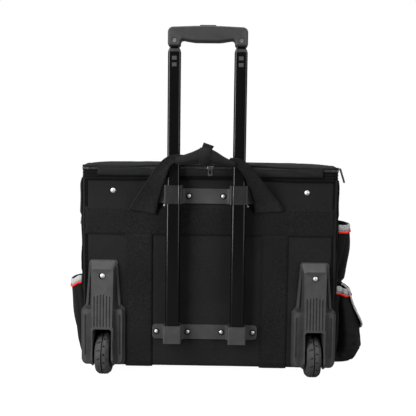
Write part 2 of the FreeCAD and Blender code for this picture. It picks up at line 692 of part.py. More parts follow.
def make_grip():
    block = grip_block()
    middle = (GRIP_Y[0] + GRIP_Y[1]) / 2
    cavity_z = (591.5, 604.0)
    cavity = box((HANDLE_X - 63, HANDLE_X + 63), (GRIP_Y[0] + 4, GRIP_Y[1] - 4), cavity_z)
    well = upright(around(HANDLE_X, BUTTON_W / 2 + 0.4), around(middle, 6.4), (600, 640), 3)
    hollow = cavity.fuse(well)
    for x in tube_xs():
        hollow = hollow.fuse(inner_passage(x, (560, 592)))
    block = block.cut(hollow).cut(screw_holes())
    for x in tube_xs():
        block = block.cut(rod((x, GRIP_Y[0], GRIP_LEG_Z + 9), Y_AXIS, 3.6, 7))
    rear_half = box((-200, 200), (-60, middle - GAP / 4), (500, 700))
    front_half = box((-200, 200), (middle + GAP / 4, 60), (500, 700))
    export("grip_rear_shell", block.common(rear_half))
    export("grip_front_shell", block.common(front_half))
    screws = []
    for x in tube_xs():
        head = rod((x, GRIP_Y[0] + 2.5, GRIP_LEG_Z + 9), Y_AXIS, 3.3, 1.8)
        shank = rod((x, (GRIP_Y[0] + 2 + GRIP_Y[1] - 2) / 2, GRIP_LEG_Z + 9), Y_AXIS, 2.0, 19)
        recess = rod((x, GRIP_Y[0] + 1.8, GRIP_LEG_Z + 9), Y_AXIS, 1.3, 2)
        screws.append(head.fuse(shank).cut(recess))
    export("grip_screws", *screws)
    top = upright(around(HANDLE_X, BUTTON_W / 2), around(middle, 6.0), (598, BUTTON_TOP), 2.6)
    top = fillet(top, 1.2, lambda e: e.BoundBox.ZMin > BUTTON_TOP - 0.01)
    cross_bar = box((HANDLE_X - 60, HANDLE_X + 60), around(middle, 4.0), (596.5, 599.5))
    export("release_button", top.fuse(cross_bar).removeSplitter())
    rods = []
    for x in tube_xs():
        low = INNER_TUBE_Z[0] + 22
        rods.append(rod((rod_x(x), TUBE_Y, (low + 596.3) / 2), Z_AXIS, 1.5, 596.3 - low))
    export("push_rods", *rods)


# ---- pockets ----
def pocket_shell(top, bottom, z, open_face):
    """An open-topped pocket from two (x, y) rectangles. open_face names the side that the panel closes.

    A pocket on a side panel has a divider half way along it.
    """
    def wires(inset, low):
        found = []
        for (x, y), level in ((bottom, low), (top, z[1] + (0.0 if inset == 0 else 0.01))):
            x = [x[0] + inset, x[1] - inset]
            y = [y[0] + inset, y[1] - inset]
            if open_face == "-x" and inset:
                x[0] -= inset + 5
            if open_face == "+x" and inset:
                x[1] += inset + 5
            if open_face == "-y" and inset:
                y[0] -= inset + 5
            found.append(upright_wire(x, y, level, 0))
        return found
    outer = loft(wires(0, z[0]))
    inner = loft(wires(POCKET_T, z[0] + POCKET_T))
    if open_face != "-y":
        middle = sum(SIDE_POCKET_Y) / 2
        inner = inner.cut(box((-400, 400), around(middle, POCKET_T / 2), (z[0], z[1] - DIVIDER_DROP)))
    return outer.cut(inner)


def widened(top, bottom, share):
    """The (low, high) pair that holds the top pair and one part-way down to the bottom pair."""
    low = min(top[0], top[0] + (bottom[0] - top[0]) * share)
    high = max(top[1], top[1] + (bottom[1] - top[1]) * share)
    return (low, high)


def mouth_band(rect, z, thickness, open_face):
    """A flat tape round the outside of a pocket's mouth."""
    x, y = rect
    near, far = GAP, GAP + thickness
    outer = box((x[0] - far, x[1] + far), (y[0] - far, y[1] + far), z)
    inner = box((x[0] - near, x[1] + near), (y[0] - near, y[1] + near), (z[0] - 1, z[1] + 1))
    band = outer.cut(inner)
    panel_side = {
        "-x": box((x[0] - 9, x[0] + GAP), (-500, 500), (z[0] - 1, z[1] + 1)),
        "+x": box((x[1] - GAP, x[1] + 9), (-500, 500), (z[0] - 1, z[1] + 1)),
        "-y": box((-500, 500), (y[0] - 9, y[0] + GAP), (z[0] - 1, z[1] + 1)),
    }
    return band.cut(panel_side[open_face])


def pocket_list():
    """name: (top rectangle, bottom rectangle, (low z, high z), side that the panel closes)."""
    edge = BACK_W / 2 + 1.0
    y, low = SIDE_POCKET_Y, BASE_Z + 6
    inner = WEB_HALF - WEB_W / 2 - 3
    outer = WEB_HALF + WEB_W / 2 + 3
    centre_x = around(WEB_X, inner)
    left_x = (-BACK_W / 2 + 2, WEB_X - outer)
    right_x = (WEB_X + outer, BACK_W / 2 - 2)
    wall = BODY_D + GAP
    deep, flat = (wall, BODY_D + FRONT_POCKET_DEPTH), (wall, BODY_D + FLAT_POCKET_DEPTH)
    return {
        "left_lower_pocket": (((-262, -edge), y), ((-244, -edge), y), (30, 169), "+x"),
        "left_upper_pocket": (((-241, -edge), y), ((-235, -edge), y), (182, 290), "+x"),
        "right_upper_pocket": (((edge, 258), y), ((edge, 236), y), (177, 274), "-x"),
        "right_lower_pocket": (((edge, 262), y), ((edge, 281), y), (low, 148), "-x"),
        "front_pocket_centre": ((centre_x, deep), (centre_x, deep), (low, 205), "-y"),
        "front_pocket_left": ((left_x, flat), (left_x, flat), (low, 190), "-y"),
        "front_pocket_right": ((right_x, flat), (right_x, flat), (low, 190), "-y"),
    }


def make_pockets():
    bulge = side_panel(BACK_W / 2 - 40, BACK_W / 2 + 1.0 + GAP, SIDE_BULGE)
    bulges = Part.makeCompound(both_sides(bulge))
    fronts, grey, red = [], [], []
    for name, (top, bottom, z, open_face) in pocket_list().items():
        shell = pocket_shell(top, bottom, z, open_face)
        shell = shell.cut(bulges) if open_face != "-y" else shell
        if name.startswith("front"):
            fronts.append(shell)
        else:
            export(name, shell)
        for bands, span in ((grey, (z[1] - 11, z[1])), (red, (z[1] - 14.5, z[1] - 11.2))):
            share = (z[1] - span[0]) / (z[1] - z[0])
            widest = [widened(top[i], bottom[i], share) for i in (0, 1)]
            band = mouth_band(widest, span, TRIM_T, open_face)
            bands.append(band.cut(bulges) if open_face != "-y" else band)
    export("front_pockets", *fronts)
    export("pocket_bindings", *grey)
    export("pocket_piping", *red)
    make_front_zip_pocket()
    make_flap()


def make_front_zip_pocket():
    """The flat pouch on the front, above the centre pocket, with a slider and its tab near the top edge."""
    face = BODY_D + POUCH_DEPTH
    pouch = box(around(WEB_X, POUCH_HALF), (BODY_D + GAP, face), (214, 344))
    pouch = fillet(pouch, 6, lambda e: e.BoundBox.YMin > BODY_D + 5)
    export("front_zip_pocket", pouch)
    slider = box(around(WEB_X, 8), (face + 0.4, face + 3.4), (327, 334))
    tab = box(around(WEB_X, 3.5), (face + 0.6, face + 2.6), (303, 327))
    export("front_zip_slider", slider.fuse(tab).removeSplitter())


def make_flap():
    """The flap over the right lower pocket's mouth: out from the panel, then down the pocket's face."""
    y = (SIDE_POCKET_Y[0] + 6, SIDE_POCKET_Y[1] - 6)
    outside = [(230.5, 166.0), (266.0, 156.0), (288.0, 78.0)]
    inside = [(285.5, 78.0), (264.0, 153.5), (230.5, 163.5)]
    wire = outline([(x, y[0], z) for x, z in outside + inside], 0)
    export("right_pocket_flap", prism(wire, V(0, y[1] - y[0], 0)))


# ---- carry straps ----
def ribbon(stations, thickness):
    """A strap through (centre, width direction, width) stations, as one ruled loft of thin rectangles."""
    wires = []
    for i, (centre, across, width) in enumerate(stations):
        before = V(*stations[max(i - 1, 0)][0])
        after = V(*stations[min(i + 1, len(stations) - 1)][0])
        along = (after - before).normalize()
        across = V(*across)
        across = (across - along * across.dot(along)).normalize()
        through = along.cross(across).normalize() * (thickness / 2)
        side = across * (width / 2)
        c = V(*centre)
        corners = [c + side + through, c + side - through, c - side - through, c - side + through]
        wires.append(Part.makePolygon(corners + corners[:1]))
    return loft(wires)


def pad(sections):
    """A rounded grip pad lofted along X through (x, y, z, half depth, half height) sections."""
    wires = []
    for x, y, z, half_y, half_z in sections:
        points = [(x, y - half_y, z - half_z), (x, y + half_y, z - half_z), (x, y + half_y, z + half_z),
                  (x, y - half_y, z + half_z)]
        wires.append(outline(points, min(half_y, half_z) * 0.7))
    return loft(wires)


def strap_places(centre_x, foot, out, up):
    """Turns (x, reach, rise) on a strap into case coordinates. out and up are +1 or -1."""
    return lambda x, reach, rise: (centre_x + x, foot[0] + out * reach, foot[1] + up * rise)


def make_strap(prefix, place, spread, out, up):
    """Two webbing legs that turn on edge as they near a padded grip, and the keeper round its middle."""
    leg = [
        (111 + spread, 4.2, 0, (1, 0, 0), WEB_W),
        (106 + spread, 9, 22, (1, 0, 0.1), 47),
        (97 + spread, 20, 49, (1, 0, 0.3), 42),
        (87 + spread, 29, 69, (0.8, 0, 0.6), 34),
        (74 + spread * 0.5, 32.5, 84, (0.5, 0, 0.85), 25),
        (60, 33, 91, (0.1, 0, 1), 19),
        (47, 33.5, 92, (0, 0, 1), 16),
    ]
    legs = []
    for side in (-1, 1):
        stations = [(place(side * x, y, z), (side * a[0], 0, up * a[2]), w) for x, y, z, a, w in leg]
        legs.append(ribbon(stations, STRAP_T))
    export(prefix + "_strap_webbing", *legs)
    sections = []
    for x, z, half_z in ((-46, 92, 8), (-28, 95, 11), (-2, 97.5, 14), (22, 94.5, 11), (46, 91, 8)):
        sections.append((*place(x, 40.5, z), 10.0, half_z))
    wrap = pad(sections)
    export(prefix + "_grip_wrap", wrap)
    x, y, z = place(-2, 40.5, 97.5)
    band = box(around(x, 9.5), around(y, 11.2), around(z, 15.2))
    core = box(around(x, 12), around(y, 10.3), around(z, 14.3))
    tab_z = (z + 15.2, z + 23) if up > 0 else (z - 23, z - 15.2)
    tab = box(around(x, 8), around(y + out * 4, 1.5), tab_z)
    export(prefix + "_grip_keeper", band.cut(core).fuse(tab).removeSplitter())


def make_straps():
    """The rear strap stands up outside the tubes. The front strap hangs down over the pouch."""
    make_strap("rear", strap_places(HANDLE_X, REAR_STRAP_FOOT, -1, 1), 0, -1, 1)
    make_strap("front", strap_places(WEB_X, FRONT_STRAP_FOOT, 1, -1), WEB_HALF - STRAP_HALF, 1, -1)


# ---- zip sliders ----
def make_sliders():
    """Two sliders on the zip round the lid, each carrying a pull with a slot in it."""
    z = (COLLAR_TOP + 0.4, COLLAR_TOP + 5.4)
    track_y = -COLLAR_OUT + 1.5
    body = box(around(0, 5.5), (track_y - 3.2, track_y - 0.4), z)
    export("rear_zip_slider", fillet(body, 1.2, lambda e: e.BoundBox.YMax < track_y - 3.1))
    export("rear_zip_pull", zip_pull(REAR_PULL_LENGTH).translate(V(0, track_y - 5.2, z[1] - 1.5)))
    track_x = lid_half_width() - 1.5
    body = box((track_x + 0.4, track_x + 4.2), around(SIDE_SLIDER_Y, 5.5), z)
    export("side_zip_slider", fillet(body, 1.2, lambda e: e.BoundBox.XMin > track_x + 4.1))
    pull = zip_pull(SIDE_PULL_LENGTH)
    pull.rotate(ORIGIN, Z_AXIS, 90)
    pull.rotate(ORIGIN, Y_AXIS, -SIDE_PULL_TILT)
    export("side_zip_pull", pull.translate(V(track_x + 6.6, SIDE_SLIDER_Y, z[1] - 1.5)))


def zip_pull(length):
    """A pull hanging from the origin, facing Y, with a slot near its lower end."""
    body = box(around(0, 4), around(0, 1), (-length, 1))
    body = fillet(body, 1.5, lambda e: e.BoundBox.YLength > 1.9)
    return body.cut(box(around(0, 1.8), around(0, 3), (-length + 3, -length + 10)))


os.makedirs("parts", exist_ok=True)
make_box_panels()
make_trim()
make_sleeve()
make_collar_and_lid()
make_wheels()
make_feet()
make_brackets()
make_rivets()
make_tubes()
make_grip()
make_pockets()
make_straps()
make_sliders()
shift = save_all()
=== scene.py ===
"""Looks for the rolling tool and laptop case: sewn fabric, webbing, zips, moulded plastic and the studio.

Lengths below are millimetres in case coordinates, as in the CAD: x = 0 half way between the side panels,
y = 0 on the back panel's outer face, z = 0 on the floor. at() turns them into metres in the frame.
"""

import math

import bmesh
import bpy
from mathutils import Matrix, Vector, noise


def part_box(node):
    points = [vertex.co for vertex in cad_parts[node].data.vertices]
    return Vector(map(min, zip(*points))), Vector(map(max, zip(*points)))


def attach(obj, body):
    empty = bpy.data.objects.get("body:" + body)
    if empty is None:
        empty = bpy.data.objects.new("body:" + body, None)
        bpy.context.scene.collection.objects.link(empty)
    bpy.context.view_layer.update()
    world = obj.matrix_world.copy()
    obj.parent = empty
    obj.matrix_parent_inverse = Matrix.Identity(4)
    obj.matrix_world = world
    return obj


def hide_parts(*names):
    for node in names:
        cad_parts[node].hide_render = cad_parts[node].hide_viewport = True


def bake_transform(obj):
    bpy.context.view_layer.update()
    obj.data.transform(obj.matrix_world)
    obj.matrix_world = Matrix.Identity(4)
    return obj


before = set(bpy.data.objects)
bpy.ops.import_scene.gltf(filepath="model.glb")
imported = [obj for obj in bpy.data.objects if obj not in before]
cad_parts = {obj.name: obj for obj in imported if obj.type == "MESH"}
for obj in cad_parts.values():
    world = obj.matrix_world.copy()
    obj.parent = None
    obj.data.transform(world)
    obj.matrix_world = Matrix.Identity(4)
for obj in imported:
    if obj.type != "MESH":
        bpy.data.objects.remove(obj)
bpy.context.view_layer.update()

MM = 0.001
back_low, back_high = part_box("back_panel")
front_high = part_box("front_panel")[1]
collar_low, collar_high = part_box("zip_collar")
lower_zip, upper_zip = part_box("lower_zip_track"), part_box("upper_zip_track")
lid_low, lid_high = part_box("lid_panel")
tube_low, tube_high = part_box("outer_tubes")
web_low, web_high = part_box("wrap_webbing")
band_low, band_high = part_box("rear_webbing_band")

CENTRE_X = (back_low[0] + back_high[0]) / 2
WALL_Y = back_low[1]


def at(x, y, z):
    return Vector((CENTRE_X + x * MM, WALL_Y + y * MM, z * MM))


def inside(point):
    """The case coordinates, in millimetres, of a point in the frame."""
    return ((point[0] - CENTRE_X) / MM, (point[1] - WALL_Y) / MM, point[2] / MM)


HALF_W = (back_high[0] - back_low[0]) / 2 / MM + 1.0
DEPTH = (front_high[1] - back_low[1]) / MM
BASE_Z = back_low[2] / MM
SEAM_Z = back_high[2] / MM
LEFT_BULGE = 12.5
RIGHT_BULGE = 12.5
CORNER_R = 9.0
WELL_HALF = 19.4
WELL_TOP = 91.5
HOUSING_SHOULDER = 118.0
COLLAR_HALF = (collar_high[0] - collar_low[0]) / 2 / MM
COLLAR_Y = inside(collar_low)[1]
LID_Z = inside(lid_low)[2]
HANDLE_X = inside((tube_low + tube_high) / 2)[0]
WEB_T = 1.6
WEB_W = 48.0
WEB_X = inside((web_low + web_high) / 2)[0]
WEB_HALF = (web_high[0] - web_low[0]) / 2 / MM - WEB_W / 2
BAND_Z = (band_low[2] / MM, band_high[2] / MM)


# ---- materials ----
class Nodes:
    """Builds a node material with short calls."""

    def __init__(self, name, roughness, metallic=0.0, specular=0.5):
        self.material = bpy.data.materials.new(name)
        self.material.use_nodes = True
        self.tree = self.material.node_tree
        self.shader = self.tree.nodes["Principled BSDF"]
        self.shader.inputs["Roughness"].default_value = roughness
        self.shader.inputs["Metallic"].default_value = metallic
        self.shader.inputs["Specular IOR Level"].default_value = specular
        self.coords = self.tree.nodes.new("ShaderNodeTexCoord")
        self.heights = []

    def link(self, output, target):
        self.tree.links.new(output, target)

    def noise(self, scale, detail=3.0, space="Object", stretch=None):
        node = self.tree.nodes.new("ShaderNodeTexNoise")
        node.inputs["Scale"].default_value = scale
        node.inputs["Detail"].default_value = detail
        self.link(self.mapped(space, stretch), node.inputs["Vector"])
        return node.outputs["Fac"]

    def mapped(self, space, stretch):
        if stretch is None:
            return self.coords.outputs[space]
        node = self.tree.nodes.new("ShaderNodeMapping")
        node.inputs["Scale"].default_value = stretch
        self.link(self.coords.outputs[space], node.inputs["Vector"])
        return node.outputs["Vector"]

    def bands(self, direction, period, space="UV"):
        """A sine wave of the given period in metres."""
        node = self.tree.nodes.new("ShaderNodeTexWave")
        node.bands_direction = direction
        node.inputs["Scale"].default_value = 2 * math.pi / (20 * period)
        node.inputs["Distortion"].default_value = 0.0
        self.link(self.coords.outputs[space], node.inputs["Vector"])
        return node.outputs["Fac"]

    def math(self, operation, a, b):
        node = self.tree.nodes.new("ShaderNodeMath")
        node.operation = operation
        for socket, value in zip(node.inputs, (a, b)):
            if isinstance(value, (int, float)):
                socket.default_value = value
            else:
                self.link(value, socket)
        return node.outputs[0]

    def ramp(self, value, stops):
        """A colour or grey ramp from (position, colour or grey) stops."""
        node = self.tree.nodes.new("ShaderNodeValToRGB")
        elements = node.color_ramp.elements
        while len(elements) < len(stops):
            elements.new(0.5)
        for element, (position, colour) in zip(elements, stops):
            element.position = position
            grey = isinstance(colour, (int, float))
            element.color = (colour, colour, colour, 1) if grey else (*colour, 1)
        self.link(value, node.inputs["Fac"])
        return node.outputs["Color"]

    def multiply(self, a, b):
        node = self.tree.nodes.new("ShaderNodeMix")
        node.data_type = "RGBA"
        node.blend_type = "MULTIPLY"
        node.inputs["Factor"].default_value = 1.0
        self.link(a, node.inputs["A"])
        self.link(b, node.inputs["B"])
        return node.outputs["Result"]

    def bump(self, height, distance, strength=1.0):
        """Adds a layer of bump. distance is in metres."""
        node = self.tree.nodes.new("ShaderNodeBump")
        node.inputs["Strength"].default_value = strength
        node.inputs["Distance"].default_value = distance
        self.link(height, node.inputs["Height"])
        if self.heights:
            self.link(self.heights[-1], node.inputs["Normal"])
        self.heights.append(node.outputs["Normal"])
        self.link(node.outputs["Normal"], self.shader.inputs["Normal"])

    def colour(self, output):
        self.link(output, self.shader.inputs["Base Color"])

    def roughness(self, output):
        self.link(output, self.shader.inputs["Roughness"])

    def edges(self):
        """Near 0.5 on flat areas and higher on convex edges."""
        return self.tree.nodes.new("ShaderNodeNewGeometry").outputs["Pointiness"]


def shade(colour, factor):
    return tuple(min(c * factor, 1.0) for c in colour)


def fabric(name, colour, thread=0.9, weave_depth=0.10, speckle=0.2, speckle_size=1.1, sheen=0.03):
    """Woven cloth: a plain weave, flecked thread by thread and unevenly faded. Sizes in millimetres."""
    n = Nodes(name, roughness=0.85, specular=0.1)
    warp = n.bands("X", thread * MM)
    weft = n.bands("Y", thread * MM)
    weave = n.math("MAXIMUM", warp, weft)
    fleck = n.ramp(n.noise(1 / (speckle_size * MM), 2.0), [(0.3, 1 - speckle), (0.7, 1 + speckle)])
    faded = n.ramp(n.noise(14.0, 4.0), [(0.3, shade(colour, 0.86)), (0.7, shade(colour, 1.14))])
    n.colour(n.multiply(faded, fleck))
    n.bump(n.noise(55.0, 3.0), 0.5 * MM, 0.35)
    n.bump(weave, weave_depth * MM, 0.6)
    n.shader.inputs["Sheen Weight"].default_value = sheen
    n.shader.inputs["Sheen Roughness"].default_value = 0.5
    return n.material


def ribbed(name, colour, period=2.6, depth=0.3, roughness=0.8, direction="Y"):
    """Grosgrain or zip tape: cords running one way under a fine cross weave, with painted shade darkening
    the grooves between the cords.
    """
    n = Nodes(name, roughness, specular=0.1)
    ribs = n.bands(direction, period * MM)
    fine = n.bands("X" if direction == "Y" else "Y", 0.8 * MM)
    fleck = n.ramp(n.noise(900.0, 2.0), [(0.3, shade(colour, 0.78)), (0.7, shade(colour, 1.22))])
    # Painted shade: the colour falls to 0.72 in the grooves between the cords.
    n.colour(n.multiply(fleck, n.ramp(ribs, [(0.0, 0.72), (0.6, 1.0)])))
    n.bump(ribs, depth * MM, 0.8)
    n.bump(fine, 0.08 * MM, 0.5)
    return n.material


def moulded(name, colour, roughness, grain=0.05, wear=1.5, specular=0.5):
    """Moulded plastic: spark-eroded grain, slightly polished and paler along its edges."""
    n = Nodes(name, roughness, specular=specular)
    mottled = n.ramp(n.noise(60.0, 4.0), [(0.35, shade(colour, 0.9)), (0.65, shade(colour, 1.12))])
    worn = n.ramp(n.edges(), [(0.505, 1.0), (0.56, wear)])
    n.colour(n.multiply(mottled, worn))
    n.roughness(n.ramp(n.noise(90.0, 3.0), [(0.3, roughness - 0.06), (0.7, roughness + 0.08)]))
    n.bump(n.noise(1400.0, 2.0), grain * MM, 0.6)
    return n.material


def front_shaded_moulded(name, colour, roughness, node):
    """The upper bracket's plastic. Faces within 4 mm of its outermost face, the sockets' fronts, get half
    its colour: painted shade.
    """
    material = moulded(name, colour, roughness, specular=0.3)
    tree = material.node_tree
    shader = tree.nodes["Principled BSDF"]
    base = shader.inputs["Base Color"].links[0].from_socket
    outermost = min(v.co.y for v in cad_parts[node].data.vertices)
    place = tree.nodes.new("ShaderNodeSeparateXYZ")
    tree.links.new(tree.nodes["Texture Coordinate"].outputs["Object"], place.inputs[0])
    behind = tree.nodes.new("ShaderNodeMath")
    behind.operation = "GREATER_THAN"
    behind.inputs[1].default_value = outermost + 4 * MM
    tree.links.new(place.outputs["Y"], behind.inputs[0])
    # Painted shade: the front faces are mixed to half the colour.
    mix = tree.nodes.new("ShaderNodeMix")
    mix.data_type = "RGBA"
    mix.inputs["A"].default_value = (*shade(colour, 0.5), 1)
    tree.links.new(behind.outputs[0], mix.inputs["Factor"])
    tree.links.new(base, mix.inputs["B"])
    tree.links.new(mix.outputs["Result"], shader.inputs["Base Color"])
    return material


def painted(name, colour, roughness):
    """Satin paint on drawn tube, with faint lengthways draw lines."""
    n = Nodes(name, roughness, specular=0.26)
    lines = n.noise(1.0, 3.0, stretch=(400.0, 400.0, 5.0))
    n.colour(n.ramp(lines, [(0.3, shade(colour, 0.85)), (0.7, shade(colour, 1.2))]))
    n.roughness(n.ramp(n.noise(35.0, 4.0), [(0.3, roughness - 0.02), (0.7, roughness + 0.05)]))
    return n.material


def bare_metal(name, colour, roughness):
    n = Nodes(name, roughness, metallic=1.0)
    n.colour(n.ramp(n.noise(200.0, 4.0), [(0.3, shade(colour, 0.8)), (0.7, shade(colour, 1.1))]))
    n.roughness(n.ramp(n.noise(500.0, 3.0), [(0.3, roughness - 0.05), (0.7, roughness + 0.12)]))
    n.bump(n.noise(700.0, 2.0), 0.02 * MM, 0.5)
    return n.material


def rubber(name, colour):
    n = Nodes(name, 0.75, specular=0.35)
    dusty = n.ramp(n.noise(45.0, 5.0), [(0.35, shade(colour, 0.8)), (0.7, shade(colour, 1.5))])
    # Dusty mottling times a pointiness ramp: paler on the edges, as wear, and darker in the hollows, as
    # painted shade.
    n.colour(n.multiply(dusty, n.ramp(n.edges(), [(0.45, 0.75), (0.55, 1.25)])))
    n.bump(n.noise(800.0, 3.0), 0.08 * MM, 0.7)
    return n.material


BLACK = (0.0100, 0.0101, 0.0103)
CLOTH = fabric("woven_polyester", BLACK, speckle=0.32, speckle_size=1.8)
DARK_CLOTH = fabric("pocket_cloth", shade(BLACK, 0.8), speckle=0.3)
# Near-black cloth for the thin cords beside the piping: painted shade for the grooves there.
GROOVE_SHADE = fabric("piping_groove_shade", shade(BLACK, 0.2), thread=0.6)
WEBBING = fabric("coarse_webbing", shade(BLACK, 0.75), 1.9, 0.3, 0.6, 2.0)
STRAP = fabric("strap_webbing", shade(BLACK, 1.1), 1.9, 0.3, 0.55, 2.2)
LINING = fabric("olive_lining", (0.012, 0.0125, 0.008), thread=1.2)
THREAD = fabric("sewing_thread", shade(BLACK, 0.9), thread=0.4)
TAPE = ribbed("zip_tape", shade(BLACK, 0.9), period=2.9, depth=0.5)
# The lower zip tape is painted at a third of the upper tape's colour: painted shade for the recess it lies
# in.
PAINTED_SHADE_TAPE = ribbed("zip_tape_lower", shade(BLACK, 0.3), period=2.9, depth=0.5)
GREY = ribbed("grey_grosgrain", (0.45, 0.45, 0.46), period=1.2, depth=0.2, direction="X")
RED = fabric("red_piping", (0.75, 0.028, 0.02), thread=0.7, sheen=0.0)
PLASTIC = moulded("moulded_plastic", (0.030, 0.030, 0.0305), 0.42, specular=0.4)
BRACKET = moulded("bracket_plastic", (0.026, 0.026, 0.0262), 0.4, specular=0.4)
# Pale plastic for a strip on each upper socket: a painted highlight.
BRACKET_HIGHLIGHT = moulded("bracket_painted_highlight", (0.13, 0.13, 0.13), 0.5)
GRIP = moulded("grip_plastic", (0.026, 0.026, 0.0265), 0.5, grain=0.08, specular=0.35)
BOARD = moulded("stiff_board", (0.03, 0.03, 0.032), 0.6)
TUBE = painted("gloss_black_tube", (0.002, 0.002, 0.0021), 0.17)
ZINC = bare_metal("rivet_metal", (0.72, 0.72, 0.73), 0.5)
# Near-black for rings round the bracket rivets and lines on the sockets: painted shade.
SHADE_BLACK = moulded("painted_shade_black", (0.002, 0.002, 0.002), 0.8, specular=0.15)
STEEL = bare_metal("turned_steel", (0.5, 0.5, 0.52), 0.35)
NICKEL = bare_metal("dark_nickel", (0.2, 0.2, 0.205), 0.3)
TYRE = rubber("tyre_rubber", (0.030, 0.030, 0.031))
COIL = moulded("zip_coil", (0.05, 0.05, 0.055), 0.3)


def paint_nodes(material, *names):
    for name in names:
        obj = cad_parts[name]
        obj.data.materials.clear()
        obj.data.materials.append(material)


# ---- mesh helpers ----
def make_object(name, verts, faces, material, body, uvs=None, smooth=True):
    mesh = bpy.data.meshes.new(name)
    mesh.from_pydata(verts, [], faces)
    if uvs:
        layer = mesh.uv_layers.new(name="UVMap")
        for loop in mesh.loops:
            layer.data[loop.index].uv = uvs[loop.vertex_index]
    mesh.validate()
    for polygon in mesh.polygons:
        polygon.use_smooth = smooth
    mesh.materials.append(material)
    obj = bpy.data.objects.new(name, mesh)
    bpy.context.collection.objects.link(obj)
    if body:
        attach(obj, body)
    return obj


def loft(name, rings, material, body, capped=(True, True), closed=True):
    """A skin over rings of points. UVs are metres round and along."""
    count = len(rings[0])
    verts, uvs, faces = [], [], []
    along = 0.0
    for r, ring in enumerate(rings):
        if r:
            along += sum((a - b).length for a, b in zip(ring, rings[r - 1])) / count
        around = 0.0
        for i, point in enumerate(ring):
            if i:
                around += (point - ring[i - 1]).length
            verts.append(point)
            uvs.append((around, along))
    for r in range(len(rings) - 1):
        for i in range(count if closed else count - 1):
            j = (i + 1) % count
            faces.append((r * count + i, r * count + j, (r + 1) * count + j, (r + 1) * count + i))
    if capped[0]:
        faces.append(tuple(reversed(range(count))))
    if capped[1]:
        faces.append(tuple((len(rings) - 1) * count + i for i in range(count)))
    return make_object(name, verts, faces, material, body, uvs)


def catmull(points, steps):
    """Points on a smooth curve through the given ones, steps per span."""
    padded = [points[0] * 2 - points[1]] + list(points) + [points[-1] * 2 - points[-2]]
    out = []
    for i in range(1, len(padded) - 2):
        a, b, c, d = padded[i - 1:i + 3]
        for k in range(steps):
            t = k / steps
            out.append(0.5 * (2 * b + (c - a) * t + (2 * a - 5 * b + 4 * c - d) * t**2
                              + (3 * b - a - 3 * c + d) * t**3))
    return out + [points[-1]]


def ribbon(name, stations, thickness, material, body, steps=6, across=8, cup=0.0):
    """Webbing through (left edge, right edge) stations in case coordinates, as a closed strip."""
    left = catmull([at(*s[0]) for s in stations], steps)
    right = catmull([at(*s[1]) for s in stations], steps)
    half = thickness * MM / 2
    rings = []
    for i, (a, b) in enumerate(zip(left, right)):
        before = (left[max(i - 1, 0)] + right[max(i - 1, 0)]) / 2
        after = (left[min(i + 1, len(left) - 1)] + right[min(i + 1, len(right) - 1)]) / 2
        normal = (b - a).cross(after - before).normalized()
        top, bottom = [], []
        for k in range(across + 1):
            s = k / across
            thin = 0.55 if k in (0, across) else 1.0
            middle = a.lerp(b, s) + normal * (cup * MM * 4 * s * (1 - s))
            top.append(middle + normal * (half * thin))
            bottom.append(middle - normal * (half * thin))
        rings.append(top + bottom[::-1])
    return loft(name, rings, material, body)


def cord_loop(name, points, radius, material, body, closed=False, sides=8):
    """A round tube of the given radius, millimetres, along points in metres."""
    rings = []
    count = len(points)
    reference = Vector((0.13, 0.21, 0.97))
    for i, point in enumerate(points):
        before = points[i - 1] if closed or i else points[i]
        after = points[(i + 1) % count] if closed or i < count - 1 else points[i]
        along = (after - before).normalized()
        side = along.cross(reference).normalized()
        over = side.cross(along)
        turn = [2 * math.pi * k / sides for k in range(sides)]
        rings.append([point + (side * math.cos(t) + over * math.sin(t)) * radius * MM for t in turn])
    if closed:
        rings.append([p.copy() for p in rings[0]])
    return loft(name, rings, material, body, capped=(not closed, not closed))


def resample(points, pitch):
    """Points at an even pitch, metres, along a polyline, each with its direction."""
    out = []
    wait = pitch / 2
    for a, b in zip(points, points[1:]):
        length = (b - a).length
        while wait < length:
            out.append((a.lerp(b, wait / length), (b - a).normalized()))
            wait += pitch
        wait -= length
    return out


def beads(name, points, outward, pitch, size, material, body):
    """Small blocks along a line: stitches or zip teeth. size is (along, across, high), millimetres."""
    verts, faces = [], []
    cube = [(x, y, z) for x in (-0.5, 0.5) for y in (-0.5, 0.5) for z in (0, 1)]
    sides = [(0, 1, 3, 2), (4, 6, 7, 5), (0, 4, 5, 1), (2, 3, 7, 6), (0, 2, 6, 4), (1, 5, 7, 3)]
    for point, along in resample(points, pitch * MM):
        normal = outward(point) if callable(outward) else Vector(outward)
        normal = (normal - along * normal.dot(along)).normalized()
        across = normal.cross(along)
        start = len(verts)
        for x, y, z in cube:
            shrink = 1 - 0.35 * z
            verts.append(point + along * (x * size[0] * MM * shrink) + across * (y * size[1] * MM * shrink)
                         + normal * (z * size[2] * MM))
        faces += [tuple(start + i for i in side) for side in sides]
    return make_object(name, verts, faces, material, body, smooth=False)


def stitches(name, points, outward, body, pitch=4.0):
    return beads(name, points, outward, pitch, (2.8, 0.6, 0.35), THREAD, body)


def cut_away(obj, boxes):
    """Takes boxes, given as (low, high) in case coordinates, out of a closed mesh."""
    for low, high in boxes:
        a, b = at(*low), at(*high)
        mesh = bpy.data.meshes.new("cutter")
        bm = bmesh.new()
        bmesh.ops.create_cube(bm, size=1.0)
        bm.to_mesh(mesh)
        bm.free()
        cutter = bpy.data.objects.new("cutter", mesh)
        cutter.matrix_world = Matrix.Translation((a + b) / 2) @ Matrix.Diagonal((*(b - a), 1))
        bpy.context.collection.objects.link(cutter)
        modifier = obj.modifiers.new("cut", "BOOLEAN")
        modifier.operation = "DIFFERENCE"
        modifier.solver = "EXACT"
        modifier.object = cutter
        bpy.context.view_layer.update()
        result = bpy.data.meshes.new_from_object(obj.evaluated_get(bpy.context.evaluated_depsgraph_get()))
        obj.modifiers.clear()
        obj.data = result
        bpy.data.objects.remove(cutter)


